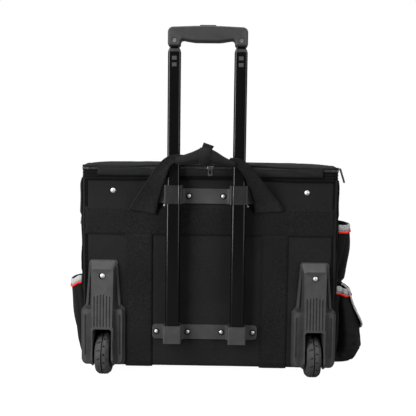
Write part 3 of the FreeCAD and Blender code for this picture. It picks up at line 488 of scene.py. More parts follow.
def ripple(x, y, z, size, amount, seed=0.0):
    """Smooth random movement: size is the wavelength and amount the height, both in millimetres."""
    return noise.noise(Vector((x / size + seed, y / size - seed, z / size))) * amount


def smoothstep(low, high, value):
    t = min(max((value - low) / (high - low), 0.0), 1.0)
    return t * t * (3 - 2 * t)


# ---- soft box ----
def rounded_outline(half_w, y0, y1, radius, step=5.0):
    """(x, y, normal x, normal y) round a rounded rectangle, anticlockwise from the back left corner."""
    points = []
    corners = [(half_w - radius, y0 + radius, -90), (half_w - radius, y1 - radius, 0),
               (-half_w + radius, y1 - radius, 90), (-half_w + radius, y0 + radius, 180)]
    for i, (cx, cy, start) in enumerate(corners):
        for k in range(7):
            angle = math.radians(start + 15 * k)
            nx, ny = math.cos(angle), math.sin(angle)
            points.append((cx + nx * radius, cy + ny * radius, nx, ny))
        nx, ny = points[-1][2:]
        last = points[-1]
        following = corners[(i + 1) % 4]
        angle = math.radians(following[2])
        target = (following[0] + math.cos(angle) * radius, following[1] + math.sin(angle) * radius)
        length = math.dist(last[:2], target)
        count = max(int(length / step), 2)
        for k in range(1, count):
            t = k / count
            points.append((last[0] + (target[0] - last[0]) * t, last[1] + (target[1] - last[1]) * t, nx, ny))
    return points


def wall_move(x, y, z, nx, ny):
    """How far the fabric wall stands out from the CAD panel at a point, in millimetres."""
    height = math.sin(math.pi * min(max((z - BASE_Z) / (SEAM_Z - BASE_Z), 0.0), 1.0))
    depth = math.sin(math.pi * min(max((y - 2) / (DEPTH - 4), 0.0), 1.0))
    bulge = LEFT_BULGE if x < 0 else RIGHT_BULGE
    steepness = 1.2 - 0.85 * smoothstep(HOUSING_SHOULDER, HOUSING_SHOULDER + 40, z)
    move = abs(nx) * bulge * depth**steepness * (0.8 + 0.2 * height)
    move += max(ny, 0.0) * 2.0 * height * math.cos(math.pi * x / (2 * HALF_W))
    shoulder = smoothstep(286, 292, z) * (1 - 0.8 * smoothstep(SEAM_Z - 14, SEAM_Z, z))
    move += abs(nx) * (3.0 if x < 0 else 1.5) * shoulder * smoothstep(4, 14, min(y, DEPTH - y))
    soft = 0.35 + 0.65 * smoothstep(4, 30, min(z - BASE_Z, SEAM_Z - z))
    move += ripple(x, y, z, 46, 1.3 + 1.2 * abs(nx), 3.1) * soft
    move += ripple(x + 0.6 * z, y, 0.35 * z, 22, 0.55, 7.7) * soft
    return move


def box_ring(z, offset):
    """One ring of the box's wall, offset inwards by a number of millimetres."""
    low = max(0.0, 1 - (z - BASE_Z) / 9)
    top = max(0.0, 1 - (SEAM_Z - z) / 5)
    tuck = 4.0 * (1 - math.sqrt(max(1 - low * low, 0))) + 2.0 * top * top
    ring = []
    for x, y, nx, ny in rounded_outline(HALF_W, 0, DEPTH, CORNER_R):
        move = wall_move(x, y, z, nx, ny) - tuck - offset
        ring.append(at(x + nx * move, y + ny * move, z))
    return ring


def wall_y(x, z):
    """The y of the back wall's outer surface."""
    return -wall_move(x, 0.0, z, 0.0, -1.0)


def make_box():
    wall = 5.0
    levels = [BASE_Z, BASE_Z + 1.5, BASE_Z + 4] + [BASE_Z + 8 + 6.5 * k for k in range(50)]
    levels += [SEAM_Z - 4, SEAM_Z - 1.5, SEAM_Z]
    levels = [z for z in levels if z <= SEAM_Z]
    outer = [box_ring(z, 0) for z in levels]
    inner = [box_ring(z, wall) for z in reversed(levels) if z > BASE_Z + 6]
    shell = loft("bag_shell", outer + inner, CLOTH, None)
    wheel_x = inside(sum(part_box("right_hub"), Vector()) / 2)[0]
    wells = []
    for side in (-1, 1):
        x = side * wheel_x
        wells.append(((x - WELL_HALF, -20, 0), (x + WELL_HALF, 53, WELL_TOP)))
        wells.append(((x - 28.5, -20, 28.5), (x + 28.5, 19.5, 47.5)))
    cut_away(shell, wells)
    for polygon in shell.data.polygons:
        polygon.use_smooth = True
    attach(shell, "case")
    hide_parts("back_panel", "front_panel", "left_panel", "right_panel", "base_panel")


def corner_line(side, out_y, tilt_degrees, lift, low):
    """A line up one of the box's corners. tilt is measured from the side wall towards the front or back."""
    points = []
    nx, ny = math.cos(math.radians(tilt_degrees)), out_y * math.sin(math.radians(tilt_degrees))
    x = HALF_W - CORNER_R * (1 - nx)
    y = (DEPTH if out_y > 0 else 0.0) - out_y * CORNER_R + CORNER_R * ny
    for k in range(61):
        z = low + (SEAM_Z - 1 - low) * k / 60
        move = wall_move(side * x, y, z, side * nx, ny) + lift
        points.append(at(side * (x + nx * move), y + ny * move, z))
    return points


def make_piping():
    """Cord sewn into the upright seams, up to the zip band, with a thin near-black cord on both sides of it:
    painted shade for the grooves beside the piping.
    """
    for side, word in ((-1, "left"), (1, "right")):
        for out_y, end, low in ((-1, "rear", HOUSING_SHOULDER), (1, "front", BASE_Z + 4)):
            line = corner_line(side, out_y, 50, 1.2, low)
            cord = cord_loop("piping_%s_%s" % (end, word), line, 2.0, CLOTH, "case")
            if side < 0 and out_y < 0:
                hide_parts("corner_piping")
            # Painted shade: thin dark cords along both sides of the piping.
            for tilt, tag in ((24, "inner"), (76, "outer")):
                line = corner_line(side, out_y, tilt, 0.5, low)
                seam = cord_loop("seam_%s_%s_%s" % (end, word, tag), line, 0.9, GROOVE_SHADE, "case")


def wall_line(points, lift):
    """Points on the back wall, (x, z), lifted off it by a number of millimetres."""
    return [at(x, wall_y(x, z) - lift, z) for x, z in points]


def wall_strip(name, edges, lift, material, replaced):
    """Webbing lying on the back wall. edges is a list of ((x, z), (x, z)) pairs along it."""
    rings = []
    for a, b in edges:
        top, bottom = [], []
        for k in range(13):
            s = k / 12
            x, z = a[0] + (b[0] - a[0]) * s, a[1] + (b[1] - a[1]) * s
            y = wall_y(x, z)
            top.append(at(x, y - (lift if 0 < k < 12 else lift * 0.5), z))
            bottom.append(at(x, y + 0.6, z))
        rings.append(top + bottom[::-1])
    piece = loft(name, rings, material, "case")
    if replaced:
        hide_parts(replaced)
    return piece


def make_bands():
    """The webbing across the back, and the two lengths that run down it and under the box to the front."""
    steps = 70
    reach = HALF_W - 3.5
    edges = []
    for k in range(steps + 1):
        x = -reach + 2 * reach * k / steps
        wave = ripple(x, 0, 0, 90, 0.8, 2.0)
        edges.append(((x, BAND_Z[0] + wave), (x, BAND_Z[1] + wave)))
    wall_strip("rear_band", edges, WEB_T, WEBBING, "rear_webbing_band")
    for z in (BAND_Z[0] + 2.4, BAND_Z[1] - 2.4):
        line = [(-reach + 2 * reach * k / 90, z + ripple(-reach + 2 * reach * k / 90, 0, 0, 90, 0.8, 2.0))
                for k in range(91)]
        stitches("rear_band_stitches_%d" % z, wall_line(line, WEB_T), (0, -1, 0), "case")
    for side, word in ((-1, "left"), (1, "right")):
        x = WEB_X + side * WEB_HALF
        span = (x - WEB_W / 2, x + WEB_W / 2)
        edges = [((span[0], z), (span[1], z)) for z in
                 [BASE_Z + 5 + (BAND_Z[0] + 2 - BASE_Z - 5) * k / 40 for k in range(41)]]
        wall_strip("down_band_" + word, edges, WEB_T, WEBBING, "wrap_webbing" if side < 0 else None)
        for edge in (span[0] + 2.4, span[1] - 2.4):
            line = [(edge, BASE_Z + 8 + (BAND_Z[0] - BASE_Z - 8) * k / 60) for k in range(61)]
            stitches("down_band_stitches_%s_%d" % (word, edge), wall_line(line, WEB_T), (0, -1, 0), "case")
        front = DEPTH + 1.4
        under = BASE_Z - 0.6
        stations = [(-0.9, BASE_Z + 7), (0.3, BASE_Z + 2.2), (2.2, BASE_Z + 0.2), (6, under), (60, under),
                    (DEPTH - 60, under), (DEPTH - 5, under), (front, BASE_Z + 6)]
        stations += [(front + 2.4 * math.sin(math.pi * k / 8), BASE_Z + 10 + (SEAM_Z - BASE_Z - 12) * k / 8)
                     for k in range(9)]
        edges = [((span[0], y, z), (span[1], y, z)) for y, z in stations]
        ribbon("under_band_" + word, edges, WEB_T, WEBBING, "case")


# ---- zip, rim and lid ----
HINGE_Y = DEPTH - 22
ZIP_Z = (lower_zip[1][2] + upper_zip[0][2]) / 2 / MM


def ordered_track(half_w, y0, radius, count_side=46, count_back=90):
    """(x, y, outward x, outward y) along the zip's path from the left end, round the back, to the right."""
    points = []
    for k in range(count_side):
        points.append((-half_w, HINGE_Y - (HINGE_Y - y0 - radius) * k / count_side, -1.0, 0.0))
    for k in range(10):
        nx, ny = math.cos(math.radians(180 + 9 * k)), math.sin(math.radians(180 + 9 * k))
        points.append((-half_w + radius * (1 + nx), y0 + radius * (1 + ny), nx, ny))
    for k in range(count_back + 1):
        x = (-half_w + radius) + (2 * half_w - 2 * radius) * k / count_back
        points.append((x, y0, 0.0, -1.0))
    mirrored = [(-x, y, -nx, ny) for x, y, nx, ny in reversed(points[:count_side + 10])]
    return points + mirrored


def rim_sag(x, y):
    """How far the zip line drops towards the corners of the back, in millimetres."""
    if y > 60:
        return 0.0
    return 3.0 * smoothstep(70, 150, abs(x)) * (1 - smoothstep(20, 60, y))


def profile_strip(name, track, profile, material, body):
    """A strip along the track. profile is a closed list of (outward, up) in millimetres."""
    rings = []
    for x, y, nx, ny in track:
        rings.append([at(x + nx * out, y + ny * out, up - rim_sag(x, y)) for out, up in profile])
    return loft(name, rings, material, body)


def ribbed_profile(low, high, ridges, out, depth):
    """A thin upright band with rounded ridges on its outer face."""
    points = []
    for k in range(ridges * 6 + 1):
        t = k / (ridges * 6)
        points.append((out + depth * abs(math.sin(math.pi * t * ridges)), low + (high - low) * t))
    return points + [(out - 2.0, high), (out - 2.0, low)]


def make_zip():
    track = ordered_track(COLLAR_HALF, COLLAR_Y, 14)
    below, above = (SEAM_Z - 2, ZIP_Z - 0.4), (ZIP_Z + 0.4, LID_Z + 2)
    lower = profile_strip("zip_tape_lower", track, ribbed_profile(*below, 4, -0.4, 1.1), PAINTED_SHADE_TAPE, "case")
    upper = profile_strip("zip_tape_upper", track, ribbed_profile(*above, 1, -0.4, 0.9), TAPE, "lid")
    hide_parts("zip_collar", "lower_zip_track")
    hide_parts("upper_zip_track")
    for name, z, body in (("zip_teeth_lower", ZIP_Z - 0.9, "case"), ("zip_teeth_upper", ZIP_Z + 0.9, "lid")):
        line = [at(x + nx * 0.1, y + ny * 0.1, z - rim_sag(x, y)) for x, y, nx, ny in track]
        centre = at(0, DEPTH / 2, z)
        outward = lambda p: Vector((p.x - centre.x, p.y - centre.y, 0))
        beads(name, line, outward, 2.1, (1.3, 1.6, 1.3), COIL, body)


FLAP_END = 196.0
SIDE_FLAP_LOW = 355.6
REAR_FLAP_LOW = 358.6


def flap_top(x):
    """The upper edge of the cloth collar below the zip. It covers the zip at its ends."""
    return ZIP_Z - 3.2 + 2.0 * smoothstep(80, 170, abs(x - HANDLE_X)) + ripple(x, 0, 0, 50, 1.5, 5.5)


def make_rim_flap():
    """The soft flap round the top of the box. It starts 25 mm from each back corner."""
    rings = []
    count = 110
    for k in range(count + 1):
        x = -FLAP_END + 2 * FLAP_END * k / count
        top, low = flap_top(x), REAR_FLAP_LOW + ripple(x, 3, 0, 60, 0.8)
        ring = []
        for out, share in ((6.2, 0.0), (7.0, 0.15), (7.2, 0.4), (6.9, 0.65), (6.2, 0.88), (5.0, 1.0)):
            fold = ripple(x + 30 * share, 5, 0, 26, 3.4, 1.3) * math.sin(math.pi * share)
            ring.append(at(x, COLLAR_Y - out - fold + 3.2, low + (top - low) * share))
        for out, share in ((3.6, 1.0), (4.2, 0.6), (3.6, 0.0)):
            ring.append(at(x, COLLAR_Y - out + 3.2, low + (top - low) * share))
        rings.append(ring)
    flap = loft("rear_rim_flap", rings, CLOTH, "case")
    edge = [(ring[5] + ring[6]) / 2 for ring in rings]
    cord_loop("rear_rim_flap_edge", edge, 1.5, STRAP, "case")
    for side, word in ((-1, "left"), (1, "right")):
        rings = []
        for k in range(61):
            y = 27 + (HINGE_Y - 27) * k / 60
            fold = ripple(side * 50, y, 0, 34, 2.0, 1.3)
            ring = []
            top = ZIP_Z - 2.5
            for out, share, z in ((1.4, 0, SIDE_FLAP_LOW), (2.4, 0.4, 360), (2.4, 0.7, 365),
                                  (2.0, 0.7, top - 2), (1.2, 0, top), (0.3, 0, top),
                                  (0.3, 0, SIDE_FLAP_LOW)):
                ring.append(at(side * (COLLAR_HALF + out + fold * share), y, z))
            rings.append(ring if side < 0 else ring[::-1])
        flap = loft("side_rim_flap_" + word, rings, CLOTH, "case")


LID_CROWN = lid_high[2] / MM


def lid_ring(inset, z_share, lift):
    """A ring of the lid, inset from its edge, with z between the edge and the crown."""
    z = LID_Z - 1.0 + (LID_CROWN - LID_Z + 1.0) * z_share
    radius = max(14 - inset * 0.3, 4)
    ring = []
    y0, y1 = COLLAR_Y + 1.2 + inset, DEPTH - 1 - inset
    for x, y, _, _ in rounded_outline(COLLAR_HALF - 1.0 - inset, y0, y1, radius, 8.0):
        wave = ripple(x, y, 0, 55, 1.6, 9.0) + ripple(x, y, 0, 24, 0.6, 4.0)
        ring.append(at(x, y, z + lift * wave - rim_sag(x, y) * (1 - min(inset / 20, 1))))
    return ring


def make_lid():
    rows = [(6, 0.0, 0.0), (0.8, 0.02, 0.0), (0, 0.12, 0.1), (0, 0.26, 0.2), (1.0, 0.4, 0.3),
            (3.5, 0.52, 0.5), (8, 0.62, 0.8)]
    for k in range(1, 15):
        rows.append((8 + 112 * (k / 14), 0.62 + 0.38 * math.sin(math.pi / 2 * min(k / 9, 1)), 1.0))
    count = len(lid_ring(*rows[0]))
    rings = [lid_ring(*row) for row in rows]
    rings = [ring if len(ring) == count else even_ring(ring, count) for ring in rings]
    lid = loft("lid_shell", rings, CLOTH, "lid")
    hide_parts("lid_panel")
    welt = [p + Vector((0, 0, 0.2 * MM)) for p in lid_ring(-0.6, 0.3, 0.2)]
    cord_loop("lid_welt", welt, 1.7, CLOTH, "lid", closed=True)


def even_ring(ring, count):
    """The ring with a different number of points, starting at the same place."""
    lengths = [0.0]
    for a, b in zip(ring, ring[1:] + ring[:1]):
        lengths.append(lengths[-1] + (b - a).length)
    closed = ring + ring[:1]
    out, span = [], 0
    for k in range(count):
        goal = lengths[-1] * k / count
        while lengths[span + 1] < goal:
            span += 1
        t = (goal - lengths[span]) / max(lengths[span + 1] - lengths[span], 1e-9)
        out.append(closed[span].lerp(closed[span + 1], t))
    return out


def make_hinge_strip():
    """The cloth round the front edge that joins the box to the lid."""
    radius = 14.0
    centre_x, centre_y = COLLAR_HALF - radius, DEPTH - radius
    path = [(-COLLAR_HALF, HINGE_Y - 3 + (centre_y - HINGE_Y + 3) * k / 4, -1.0, 0.0) for k in range(4)]
    turn = [math.radians(180 - 10 * k) for k in range(10)]
    path += [(-centre_x + radius * math.cos(a), centre_y + radius * math.sin(a), math.cos(a), math.sin(a))
             for a in turn]
    across = [(-centre_x + 2 * centre_x * k / 50, DEPTH, 0.0, 1.0) for k in range(1, 50)]
    path = path + across + [(-x, y, -nx, ny) for x, y, nx, ny in reversed(path)]
    rings = []
    for x, y, nx, ny in path:
        ring = []
        for out, z in ((0.5, 354), (1.6, 360), (2.0, 366), (1.8, 372), (1.4, 376), (0.6, 379)):
            out += ripple(x, y, z, 30, 0.6)
            ring.append(at(x + nx * out, y + ny * out, z))
        for out, z in ((-0.8, 379), (0.0, 366), (-0.8, 354)):
            ring.append(at(x + nx * out, y + ny * out, z))
        rings.append(ring[::-1])
    strip = loft("lid_hinge_strip", rings, CLOTH, None)
    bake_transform(strip)


# ---- pockets ----
def panel_out(face, u, z):
    """How far a face's fabric stands out from its CAD panel: u is y on a side face and x on the front."""
    if face == "front":
        return wall_move(u, DEPTH, z, 0.0, 1.0)
    side = -1.0 if face == "left" else 1.0
    return wall_move(side * HALF_W, u, z, side, 0.0)


def on_face(face, u, out, z):
    """A point standing out from the left, right or front face."""
    if face == "front":
        return at(u, DEPTH + out, z)
    return at(-HALF_W - out, u, z) if face == "left" else at(HALF_W + out, u, z)


class Pocket:
    """An open pocket sewn to a face: D-shaped from above, with a bound mouth that sags between its ends."""

    def __init__(self, name, face, span, heights, reach, square=3.0, sag=4.0, crush=1.0, seed=0.0, belly=3.0,
                 slope=0.0, folds=0.6, chamfer=0.05, foot=0.8, pleat=(0.05, 0.0, 0.0, 0.03)):
        self.name, self.face, self.span, self.heights = name, face, span, heights
        self.reach, self.square, self.sag, self.crush = reach, square, sag, crush
        self.seed, self.belly, self.slope, self.folds = seed, belly, slope, folds
        self.chamfer, self.foot, self.pleat = chamfer, foot, pleat

    def plan(self, turn, reach):
        """(u, out) at a turn from 0, sewn at the low end of the span, to 1, sewn at the high end."""
        angle = math.pi * turn
        middle, half = sum(self.span) / 2, (self.span[1] - self.span[0]) / 2
        cosine, sine = math.cos(angle), max(math.sin(angle), 0.0)
        u = middle - half * math.copysign(abs(cosine) ** (2 / self.square), cosine)
        return u, reach * sine ** (2 / self.square)

    def mouth(self, turn):
        wave = math.sin(math.pi * turn)
        rise = ripple(turn * 90, self.seed, 0, 30, 1.6 + self.sag * 0.1, self.seed) * wave
        droop = self.sag * smoothstep(0.03, 0.24, min(turn, 1 - turn))
        return self.heights[1] - self.slope * turn - droop + rise

    def gather(self, u, z, share):
        """Upright folds that run down from the mouth of a full pocket."""
        wander = 1.4 * math.sin(z / 31 + self.seed)
        return self.folds * math.sin(u / 7.5 + wander) * smoothstep(0.15, 0.55, share)

    def pleat_at(self, turn, share):
        """The depth of the fold that runs up the pocket's rear end, further from the panel at the mouth."""
        start, drift, depth, width = self.pleat
        off = (turn - start - drift * share) / width
        fade = smoothstep(0.0, 0.12, share) * (1 - 0.7 * smoothstep(0.8, 1.0, share))
        return depth * math.exp(-off * off) * fade

    def hem_at(self, turn, share):
        """The crease across the end of a stuffed pocket, where its side turns in to its bottom."""
        off = (share - self.chamfer + 0.25 * abs(turn - 0.12)) / 0.03
        return 2.4 * self.folds * math.exp(-off * off) * (1 - smoothstep(0.12, 0.3, min(turn, 1 - turn)))

    def reach_at(self, share):
        low, high = self.reach
        body = low + (high - low) * share**0.8 + self.belly * math.sin(math.pi * share)
        return body * (self.foot + (1 - self.foot) * min(share / self.chamfer, 1.0))

    def point(self, turn, share, lift=0.0):
        """A point on the pocket at a share of its height, lifted off its cloth."""
        z = self.heights[0] + share * (self.mouth(turn) - self.heights[0])
        reach = self.reach_at(share)
        u, out = self.plan(turn, reach)
        wave = math.sin(math.pi * turn) ** 0.5 * (0.35 + 0.65 * math.sin(math.pi * share))
        low_creases = self.crush * (1 - smoothstep(0.05, 0.6, share))
        move = ripple(u, z, self.seed, 38, 2.6 * self.crush, self.seed) * wave
        move += ripple(u + 0.8 * z, z, self.seed, 17, 1.6 * low_creases, self.seed + 2) * wave
        crease = abs(noise.noise(Vector((u / 21 + z / 30, z / 13, self.seed))))
        move -= low_creases * wave * 5.0 * max(0.0, 0.12 - crease) / 0.12
        back = panel_out(self.face, u, z)
        move += (self.gather(u, z, share) - self.hem_at(turn, share)) * wave - self.pleat_at(turn, share)
        middle, half = sum(self.span) / 2, (self.span[1] - self.span[0]) / 2
        du, do = (u - middle) / half**2, out / max(reach, 1.0) ** 2
        length = max(math.hypot(du, do), 1e-9)
        push = (move + lift) / length
        return on_face(self.face, u + du * push, max(back + 0.4 + out + do * push, back - 1.0), z)

    def ring(self, share, lift, count=72):
        curve = [self.point(k / count, share, lift) for k in range(count + 1)]
        back = []
        for k in range(1, 16):
            u = self.span[1] + (self.span[0] - self.span[1]) * k / 16
            z = self.heights[0] + share * (self.mouth(0.0) - self.heights[0])
            back.append(on_face(self.face, u, panel_out(self.face, u, z) + 0.4 - min(lift, 0.0) * 0.4, z))
        return curve + back

    def make(self, node):
        shares = [0.0, 0.012, 0.03, 0.05] + [0.07 + 0.93 * k / 44 for k in range(45)]
        outer = [self.ring(share, 0.0) for share in shares]
        inner = [self.ring(share, -2.2) for share in reversed(shares[2:])]
        piece = loft(self.name, outer + inner, DARK_CLOTH, "case")
        if node:
            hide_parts(node)

    def bind(self, node_grey=None, node_red=None, height=11.5, red=True):
        """Grey grosgrain folded over the mouth, with a red piping along its lower edge."""
        def across(turn, lift, drop):
            top = self.mouth(turn) - self.heights[0]
            return self.point(turn, 1.0 - drop / top, lift)

        outer = [(0.2, height), (1.3, height - 0.4), (1.5, height * 0.5), (1.2, 0.6), (0.2, -0.9),
                 (-1.1, -0.9), (-1.0, height * 0.8)]
        inner = [(-1.2, -0.6), (-2.4, -0.6), (-3.2, 0.6), (-3.4, height * 0.5), (-2.4, height * 0.8),
                 (-1.3, height * 0.8)]
        turns = [k / 96 for k in range(97)]
        band = loft(self.name + "_binding", [[across(t, *p) for p in outer] for t in turns], GREY, "case")
        rings = [[across(t, *p) for p in inner] for t in turns]
        lining = loft(self.name + "_mouth_lining", rings, LINING, "case")
        if node_grey:
            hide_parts(node_grey)
        stitches(self.name + "_binding_stitches", [across(k / 120, 1.4, height - 2.0) for k in range(121)],
                 self.outward, "case", 3.4)
        if red:
            line = [across(k / 96, 0.7, height + 1.3) for k in range(97)]
            cord = cord_loop(self.name + "_piping", line, 1.9, RED, "case")
            if node_red:
                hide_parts(node_red)

    def outward(self, point):
        centre = on_face(self.face, sum(self.span) / 2, -40.0, 0.0)
        return Vector((point.x - centre.x, point.y - centre.y, 0))


def make_side_pockets():
    """Each side pocket is two compartments, one behind the other."""
    rear, front = (20, 122.5), (125.5, 228)
    plan = [
        ("left_lower_pocket", "left", (28, 176), (8, 23),
         dict(seed=1.3, sag=6.0, crush=0.8, belly=6.0, slope=12.0, folds=0.8,
              pleat=(0.06, 0.05, 2.0, 0.03))),
        ("left_upper_pocket", "left", (184, 283), (1, 1.5),
         dict(seed=5.1, sag=2.0, crush=0.3, belly=0.6, slope=3.0, folds=0.0)),
        ("right_upper_pocket", "right", (171, 273.5), (16, 25.5),
         dict(seed=8.4, sag=1.0, crush=0.6, belly=3.5, folds=1.2, chamfer=0.04,
              pleat=(0.03, 0.3, 16.0, 0.05))),
        ("right_lower_pocket", "right", (24, 163), (63, 25.5),
         dict(seed=3.7, sag=5.0, crush=1.9, belly=10.0, slope=9.0, folds=2.0, chamfer=0.14, foot=0.74,
              pleat=(0.05, 0.07, 20.0, 0.024))),
    ]
    for node, face, heights, reach, shape in plan:
        for span, word, drop in ((rear, "rear", 0.0), (front, "front", 4.0)):
            z = (heights[0], heights[1] - drop)
            pocket = Pocket("%s_%s" % (node, word), face, span, z, reach, square=2.6, **shape)
            pocket.seed += drop
            pocket.make(node if word == "rear" else None)
            first = node == "left_lower_pocket" and word == "rear"
            pocket.bind("pocket_bindings" if first else None, "pocket_piping" if first else None,
                        red=node != "left_upper_pocket")


def make_flap():
    """The cover of the lower right pocket: it leaves the panel over the mouth and hangs outside it."""
    section = [(230.5, 164.5), (235, 166), (242, 165.5), (249, 161), (255, 153), (260, 142), (264.5, 130),
               (270, 117), (277.5, 103), (283.5, 88), (283, 76)]
    curve = catmull([Vector((x, 0, z)) for x, z in section], 5)
    low, high, corner = 30.0, 218.0, 34.0
    outline = []
    for i, point in enumerate(curve):
        share = i / (len(curve) - 1)
        round_off = corner * (1 - math.sqrt(max(1 - max((share - 0.72) / 0.28, 0) ** 2, 0)))
        taper = 10 * share
        outline.append((point, low + taper + round_off, high - taper - round_off))

    def spot(i, across, lift):
        point, start, end = outline[i]
        before, after = curve[max(i - 1, 0)], curve[min(i + 1, len(curve) - 1)]
        along = (after - before).normalized()
        normal = Vector((along.z, 0, -along.x)) * -1
        y = start + (end - start) * across
        share = i / (len(curve) - 1)
        wave = ripple(y, share * 90, 0, 42, 4.0, 6.6) * smoothstep(0.1, 0.9, share)
        wave += 3.0 * math.sin(math.pi * across) * share
        spot_x, spot_z = point.x + normal.x * (lift + wave * 0.7), point.z + normal.z * (lift + wave * 0.7)
        return at(spot_x, y, spot_z)

    rings = []
    for i in range(len(curve)):
        top = [spot(i, k / 30, 1.1) for k in range(31)]
        under = [spot(i, k / 30, -1.1) for k in range(31)]
        rings.append(top + under[::-1])
    flap = loft("pocket_flap_cloth", rings, CLOTH, "pocket_flap")
    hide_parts("right_pocket_flap")
    count = len(curve) - 1
    edge = [spot(i, 0.0, 0.0) for i in range(9, count)]
    edge += [spot(count, k / 24, 0.0) for k in range(25)]
    edge += [spot(i, 1.0, 0.0) for i in range(count - 1, 1, -1)]
    binding = cord_loop("pocket_flap_binding", edge, 1.7, GREY, "pocket_flap")


def make_front_pockets():
    boxes = [("front_left_pocket_cloth", (-219.5, -150.5), (25, 190), 22, 12.1),
             ("front_centre_pocket_cloth", (-96.5, 88.5), (25, 205), 36, 14.2),
             ("front_right_pocket_cloth", (142.5, 219.5), (25, 190), 22, 16.3)]
    for i, (name, span, heights, reach, seed) in enumerate(boxes):
        pocket = Pocket(name, "front", span, heights, (reach, reach - 3), square=5.0, sag=3.0,
                        seed=seed, belly=2.0)
        pocket.make("front_pockets" if i == 0 else None)
        pocket.bind()


# ---- padded pieces, by cloth simulation ----
def grid_box(name, low, high, step=5.0):
    """A closed box made of small squares, low and high in case coordinates."""
    bm = bmesh.new()
    bmesh.ops.create_cube(bm, size=1.0)
    a, b = at(*low), at(*high)
    placing = Matrix.Translation((a + b) / 2) @ Matrix.Diagonal((*(b - a), 1))
    bmesh.ops.transform(bm, matrix=placing, verts=bm.verts)
    mesh = bpy.data.meshes.new(name)
    bm.to_mesh(mesh)
    bm.free()
    obj = bpy.data.objects.new(name, mesh)
    bpy.context.collection.objects.link(obj)
    remesh = obj.modifiers.new("remesh", "REMESH")
    remesh.mode = "VOXEL"
    remesh.voxel_size = step * MM
    apply_modifiers(obj)
    return obj


def apply_modifiers(obj):
    bpy.context.view_layer.update()
    result = bpy.data.meshes.new_from_object(obj.evaluated_get(bpy.context.evaluated_depsgraph_get()))
    obj.modifiers.clear()
    obj.data = result


def inflate(obj, cap, pressure=4.0, frames=20):
    """Swells a closed mesh as cloth under pressure. No point moves more than cap millimetres."""
    start = [v.co.copy() for v in obj.data.vertices]
    cloth = obj.modifiers.new("cloth", "CLOTH")
    cloth.settings.use_pressure = True
    cloth.settings.uniform_pressure_force = pressure
    cloth.settings.effector_weights.gravity = 0.0
    cloth.point_cache.frame_end = frames
    for frame_number in range(1, frames + 1):
        bpy.context.scene.frame_set(frame_number)
    apply_modifiers(obj)
    bpy.context.scene.frame_set(1)
    for vertex, before in zip(obj.data.vertices, start):
        move = vertex.co - before
        if move.length > cap * MM:
            vertex.co = before + move.normalized() * cap * MM
    subdivide = obj.modifiers.new("subdivide", "SUBSURF")
    subdivide.levels = subdivide.render_levels = 1
    apply_modifiers(obj)
    for polygon in obj.data.polygons:
        polygon.use_smooth = True


def make_padded(name, low, high, cap, material, node, body, margin=2.0):
    shape = grid_box(name, [v + margin for v in low], [v - margin for v in high])
    inflate(shape, cap)
    shape.data.materials.clear()
    shape.data.materials.append(material)
    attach(shape, body)
    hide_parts(node)
    return shape


def make_sleeve():
    low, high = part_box("laptop_sleeve")
    make_padded("sleeve_pad", inside(low), inside(high), 4.0, LINING, "laptop_sleeve", "case")


def make_front_pouch():
    low, high = [inside(v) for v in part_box("front_zip_pocket")]
    low = (low[0], DEPTH - 1.0, low[2])
    pouch = make_padded("front_pouch", low, high, 3.5, DARK_CLOTH,
                        "front_zip_pocket", "case", 1.0)
    slider_low, slider_high = [inside(v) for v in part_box("front_zip_slider")]
    zip_z = slider_high[2] - 5.5
    face = slider_low[1]
    tape = []
    for k in range(41):
        x = low[0] + 10 + (high[0] - low[0] - 20) * k / 40
        ring = [at(x, face - 3.0, zip_z - 9), at(x, face - 0.7, zip_z - 8.5), at(x, face - 0.5, zip_z - 1.5),
                at(x, face - 1.1, zip_z), at(x, face - 0.5, zip_z + 1.5), at(x, face - 0.7, zip_z + 8.5),
                at(x, face - 3.0, zip_z + 9)]
        tape.append(ring[::-1])
    loft("front_zip_tape", tape, TAPE, "case")
    line = [at(low[0] + 12 + (high[0] - low[0] - 24) * k / 60, face - 1.0, zip_z) for k in range(61)]
    teeth = beads("front_zip_teeth", line, (0, 1, 0), 2.1, (1.3, 3.0, 0.8), COIL, "case")


# ---- carry straps ----
STRAP_T = 2.2
LEFT_OUTER = [(-142, 4.4, 3), (-134, 8, 17), (-120, 14, 37), (-105, 23, 59), (-91, 31, 79),
              (-75, 37, 94), (-59, 40, 99), (-44, 42, 99)]
LEFT_INNER = [(-94, 4.4, -5), (-88, 8, 18), (-82, 15, 39), (-75, 26, 61), (-68, 32, 78),
              (-60, 35.5, 85), (-52, 37, 85), (-42, 38, 84)]
RIGHT_OUTER = [(130, 4.4, 3), (121, 8, 18), (105, 15, 37), (88, 24, 58), (74, 32, 75), (62, 37, 87),
               (48, 41, 94), (34, 42, 95)]
RIGHT_INNER = [(80, 4.4, -1), (75, 8, 18), (69, 15, 38), (62, 26, 57), (54, 33, 70), (46, 36, 78),
               (38, 38, 81), (28, 39, 83)]


def bend_foot(piece, place):
    """Bakes the piece's transform into its mesh. The two foot points worked out from place are not used."""
    at(*place(0, 5, -4))
    at(*place(0, 8, 22))
    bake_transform(piece)


